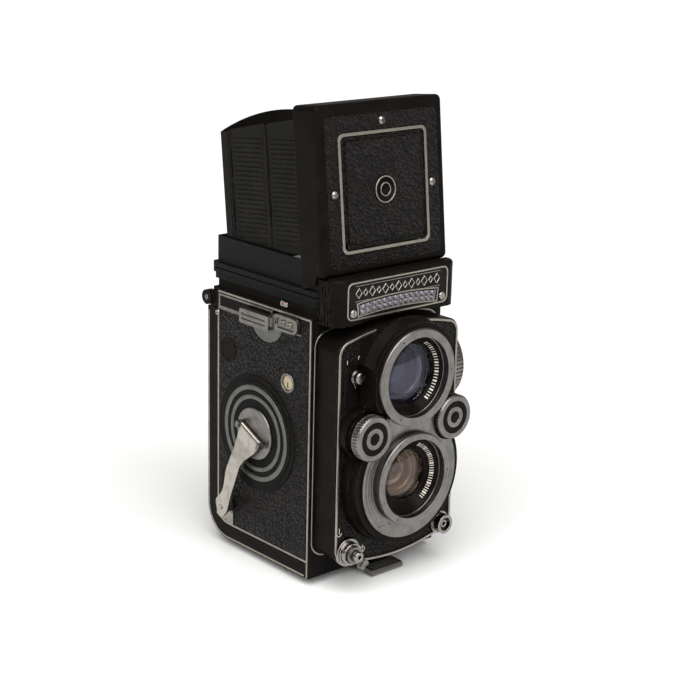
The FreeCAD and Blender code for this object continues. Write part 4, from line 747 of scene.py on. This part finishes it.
# outline of an iris blade: turn from the blade's root in radians, and radius
BLADE = ((0, 9.6), (0.55, 9.6), (1.1, 9.6), (1.45, 9.4), (1.20, 5.4), (0.62, 4.8), (0.05, 5.2))


def lens_rings():
    """Retaining rings between the glasses, and the blades of the iris."""
    cells = (("viewing", "viewing_lens", 12.2, ("gloss", "steel")),
             ("taking", "taking_lens", 9.9, ("steel", "amber_metal")))
    for tag, node, bore, finishes in cells:
        front = box_mm("bayonets")[0].y
        centre = centre_mm(node)
        place = facing_front(0, front, centre.z)
        depth = 12.6
        for number in range(3):
            inner = bore - 1.0 - 1.1 * number
            low = -(depth + 1.9 * number)
            section = [(inner, low - 1.5), (bore, low - 1.5), (bore, low + 0.1), (inner + 0.3, low + 0.1),
                       (inner, low - 0.3)]
            ring = revolve(section, steps=96)
            finished(f"{tag}_cell_ring_{number}", ring, place, "lens_standard", finishes[number % 2])
    front = box_mm("bayonets")[0].y
    place = facing_front(0, front, centre_mm("taking_lens").z)
    blades = bmesh.new()
    for k in range(5):
        a0 = math.radians(72 * k + 8)
        points = []
        for turn, r in BLADE:
            points.append((r * math.cos(a0 + turn), r * math.sin(a0 + turn)))
        prism(points, -19.7 - 0.14 * k, -19.58 - 0.14 * k, blades)
    finished("iris_blades", blades, place, "lens_standard", "steel")


def wheel_inlays():
    """Black inlays in the thumbwheels' faces."""
    for node in ("aperture_wheel", "shutter_speed_wheel"):
        low, high = box_mm(node)
        centre = (low + high) / 2
        place = facing_front(centre.x, low.y, centre.z)
        section = [(4.85, -0.52), (7.65, -0.52), (7.65, -0.12), (7.4, -0.02), (5.1, -0.02), (4.85, -0.12)]
        ring = revolve(section, steps=96)
        finished(node + "_ring", ring, place, node, "dial")
        middle = disc([(0, -0.52), (2.7, -0.52), (2.7, -0.14), (2.4, -0.04), (0, -0.04)], steps=48)
        finished(node + "_middle", middle, place, node, "dial")


def face_arc():
    """Warm-coloured warning arc on the black ring outside the taking lens's bright face."""
    plate_low = box_mm("lens_face_plate")[0]
    centre = centre_mm("taking_lens")
    points = arc(0, 0, 22.6, -34, 42, 40)
    band = strip(points, 0.55, -0.3, 0.06)
    finished("warning_arc", band, facing_front(0, plate_low.y + 1.5, centre.z), "lens_standard", "orange")


def nameplate_trim():
    """Bright borders of the plate and of the meter's window, and a plain row of lozenges."""
    low, high = box_mm("nameplate")
    place = facing_front(0, low.y, 0)
    border = rounded(low.x + 0.5, high.x - 0.5, low.z + 0.5, high.z - 0.5, 2.7)
    finished("nameplate_border", strip(border, 0.9, -0.3, 0.12, closed=True), place, "camera_body", "rim")
    pane_low, pane_high = box_mm("meter_window")
    half, foot, top = pane_high.x - 0.3, pane_low.z + 0.2, pane_high.z - 1.2
    outline = arc_through((-half, foot), (0, foot + 1.3), (half, foot), 24)
    outline += arc_through((half + 0.7, top), (0, top + 1.5), (-half - 0.7, top), 24)
    grown = [(x * 1.022, (z - foot) * 1.0 + foot + (0.55 if z > foot + 3 else -0.45)) for x, z in outline]
    finished("meter_frame", strip(grown, 0.75, -0.4, 0.12, closed=True), place, "camera_body", "rim")
    motif = bmesh.new()
    middle = high.z - 5.4
    for k in range(-6, 7):
        x = 3.9 * k
        size = 1.5 if k % 2 else 2.2
        outer = [(x - size * 0.8, middle), (x, middle - size), (x + size * 0.8, middle), (x, middle + size)]
        strip(outer, 0.45, -0.1, 0.16, closed=True, bm=motif)
    for z in (middle - 3.4, middle + 3.4):
        strip([(-25.5, z), (25.5, z)], 0.35, -0.1, 0.14, bm=motif)
    place = facing_front(0, low.y + 0.3, 0)
    finished("nameplate_motif", motif, place, "camera_body", "rim")


def panel_medallion():
    """Plain round medallion on the sports-finder panel."""
    centre = centre_mm("lid_trim")
    place = placed(centre, (1, 0, 0), UP_LID)
    base = disc([(0, -0.6), (6.3, -0.6), (6.3, 0.75), (6.0, 0.9), (0, 0.9)], steps=64)
    finished("medallion", base, place, "sports_finder", "gloss")
    ring = revolve([(5.4, 0.8), (6.0, 0.8), (6.0, 0.96), (5.9, 1.04), (5.5, 1.04), (5.4, 0.96)], steps=64)
    revolve([(2.6, 0.8), (3.1, 0.8), (3.1, 0.96), (3.0, 1.02), (2.7, 1.02), (2.6, 0.96)], steps=48, bm=ring)
    finished("medallion_ring", ring, place, "sports_finder", "rim")


def small_marks():
    """Index marks beside the release, the selector and the flash terminal."""
    low = box_mm("standard_leather")[0]
    place = facing_front(0, low.y, 0)
    release = centre_mm("release_collar")
    sync = centre_mm("sync_lever")
    marks = bmesh.new()
    stem = [(release.x - 4.6, release.z + 9.4), (release.x - 4.6, release.z + 12.2)]
    strip(stem, 0.45, -0.2, 0.09, bm=marks)
    strip(arc(release.x - 4.6, release.z + 9.6, 1.3, 180, 360, 10), 0.4, -0.2, 0.09, bm=marks)
    strip(arc(release.x + 9.6, release.z - 1.4, 1.3, 0, 360, 16)[:-1], 0.4, -0.2, 0.09, closed=True, bm=marks)
    strip([(release.x + 9.6, release.z - 3.6), (release.x + 9.6, release.z + 0.8)], 0.4, -0.2, 0.09, bm=marks)
    finished("release_marks", marks, place, "lens_standard", "white")
    dots = bmesh.new()
    strip(arc(sync.x + 3.6, sync.z + 8.6, 0.9, 0, 360, 14)[:-1], 0.4, -0.2, 0.09, closed=True, bm=dots)
    strip([(sync.x - 3.6, sync.z + 6.6), (sync.x - 3.6, sync.z + 8.6)], 0.4, -0.2, 0.09, bm=dots)
    finished("selector_marks", dots, place, "lens_standard", "white")


def table_marks():
    """Ruled rows on the round table plate at the back."""
    place = facing_back(0, box_mm("back_door")[1].y, 0)
    rows = bmesh.new()
    centre_z = 96.0
    for k in range(-3, 4):
        half = math.sqrt(8.2 ** 2 - (2.1 * k) ** 2)
        strip([(-half, centre_z + 2.1 * k), (half, centre_z + 2.1 * k)], 0.3, -0.15, 0.06, bm=rows)
    finished("table_rows", rows, place, "film_door", "white")


def assemble():
    assign_finishes()
    side_lines()
    strap_seats()
    corner_plate()
    counter_disc()
    dial_rings()
    focus_scale()
    neck_catch()
    standard_lines()
    bezel_marks()
    lens_rings()
    wheel_inlays()
    face_arc()
    nameplate_trim()
    panel_medallion()
    small_marks()
    table_marks()


# ---- floor, light and camera --------------------------------------------------------------------
def floor():
    mesh = bpy.data.meshes.new("floor")
    bm = bmesh.new()
    bmesh.ops.create_grid(bm, x_segments=24, y_segments=24, size=6.0)
    bm.to_mesh(mesh)
    bm.free()
    plane = bpy.data.objects.new("floor", mesh)
    bpy.context.scene.collection.objects.link(plane)
    g = Graph("floor_paper")
    soft = g.noise(60.0, detail=3.0)
    g.set(Base_Color=g.blend(soft, colour(0.80, 0.80, 0.795), colour(0.83, 0.83, 0.825)))
    g.set(Roughness=0.9)
    g.set(Specular_IOR_Level=0.1)
    plane.data.materials.append(g.material)


TARGET = Vector((-0.01677, -0.0375, 0.10809))        # what the camera looks at
DISTANCE = 0.71885
AZIMUTH, ELEVATION, ROLL = (math.radians(a) for a in (-41.93, 16.51, 1.43))
LENS, SENSOR = 83.36, 36.0


def view_axes():
    back = Vector((math.sin(AZIMUTH) * math.cos(ELEVATION), -math.cos(AZIMUTH) * math.cos(ELEVATION),
                   math.sin(ELEVATION)))
    right = (-back).cross(Vector((0, 0, 1))).normalized()
    up = right.cross(-back)
    return right, up, back


def camera():
    right, up, back = view_axes()
    c, s = math.cos(ROLL), math.sin(ROLL)
    axes = Matrix((right * c + up * s, up * c - right * s, back)).transposed().to_4x4()
    data = bpy.data.cameras.new("camera")
    data.lens = LENS
    data.sensor_width = SENSOR
    data.clip_start = 0.01
    eye = bpy.data.objects.new("camera", data)
    eye.matrix_world = Matrix.Translation(TARGET + back * DISTANCE) @ axes
    bpy.context.scene.collection.objects.link(eye)
    bpy.context.scene.camera = eye


def area_light(name, place, aim, width, height, power, tint):
    data = bpy.data.lights.new(name, "AREA")
    data.shape = "RECTANGLE"
    data.size, data.size_y = width, height
    data.energy = power
    data.color = tint
    lamp = bpy.data.objects.new(name, data)
    lamp.location = place
    lamp.rotation_euler = (Vector(aim) - Vector(place)).to_track_quat("-Z", "Y").to_euler()
    bpy.context.scene.collection.objects.link(lamp)


WORLD_LIGHT, SUN_LIGHT = 0.20, 4.0


def studio():
    world = bpy.data.worlds.new("studio")
    bpy.context.scene.world = world
    world.use_nodes = True
    background = world.node_tree.nodes["Background"]
    background.inputs["Color"].default_value = (1.0, 1.0, 1.0, 1.0)
    background.inputs["Strength"].default_value = WORLD_LIGHT
    sun = bpy.data.lights.new("sun", "SUN")
    sun.energy = SUN_LIGHT
    sun.angle = math.radians(70)
    lamp = bpy.data.objects.new("sun", sun)
    lamp.rotation_euler = Vector((-0.50, -0.62, 1.35)).to_track_quat("Z", "Y").to_euler()
    bpy.context.scene.collection.objects.link(lamp)
    middle = (0, 0, 0.10)
    warm, neutral = (1.0, 0.96, 0.90), (1.0, 0.98, 0.96)
    area_light("front", (0.30, -1.30, 0.75), middle, 0.5, 0.5, 5, neutral)
    area_light("side", (-1.35, -0.25, 0.55), middle, 0.4, 0.8, 4, warm)
    bpy.context.scene.view_settings.view_transform = "Standard"


# ---- everything ---------------------------------------------------------------------------------
assemble()
floor()
studio()
camera()
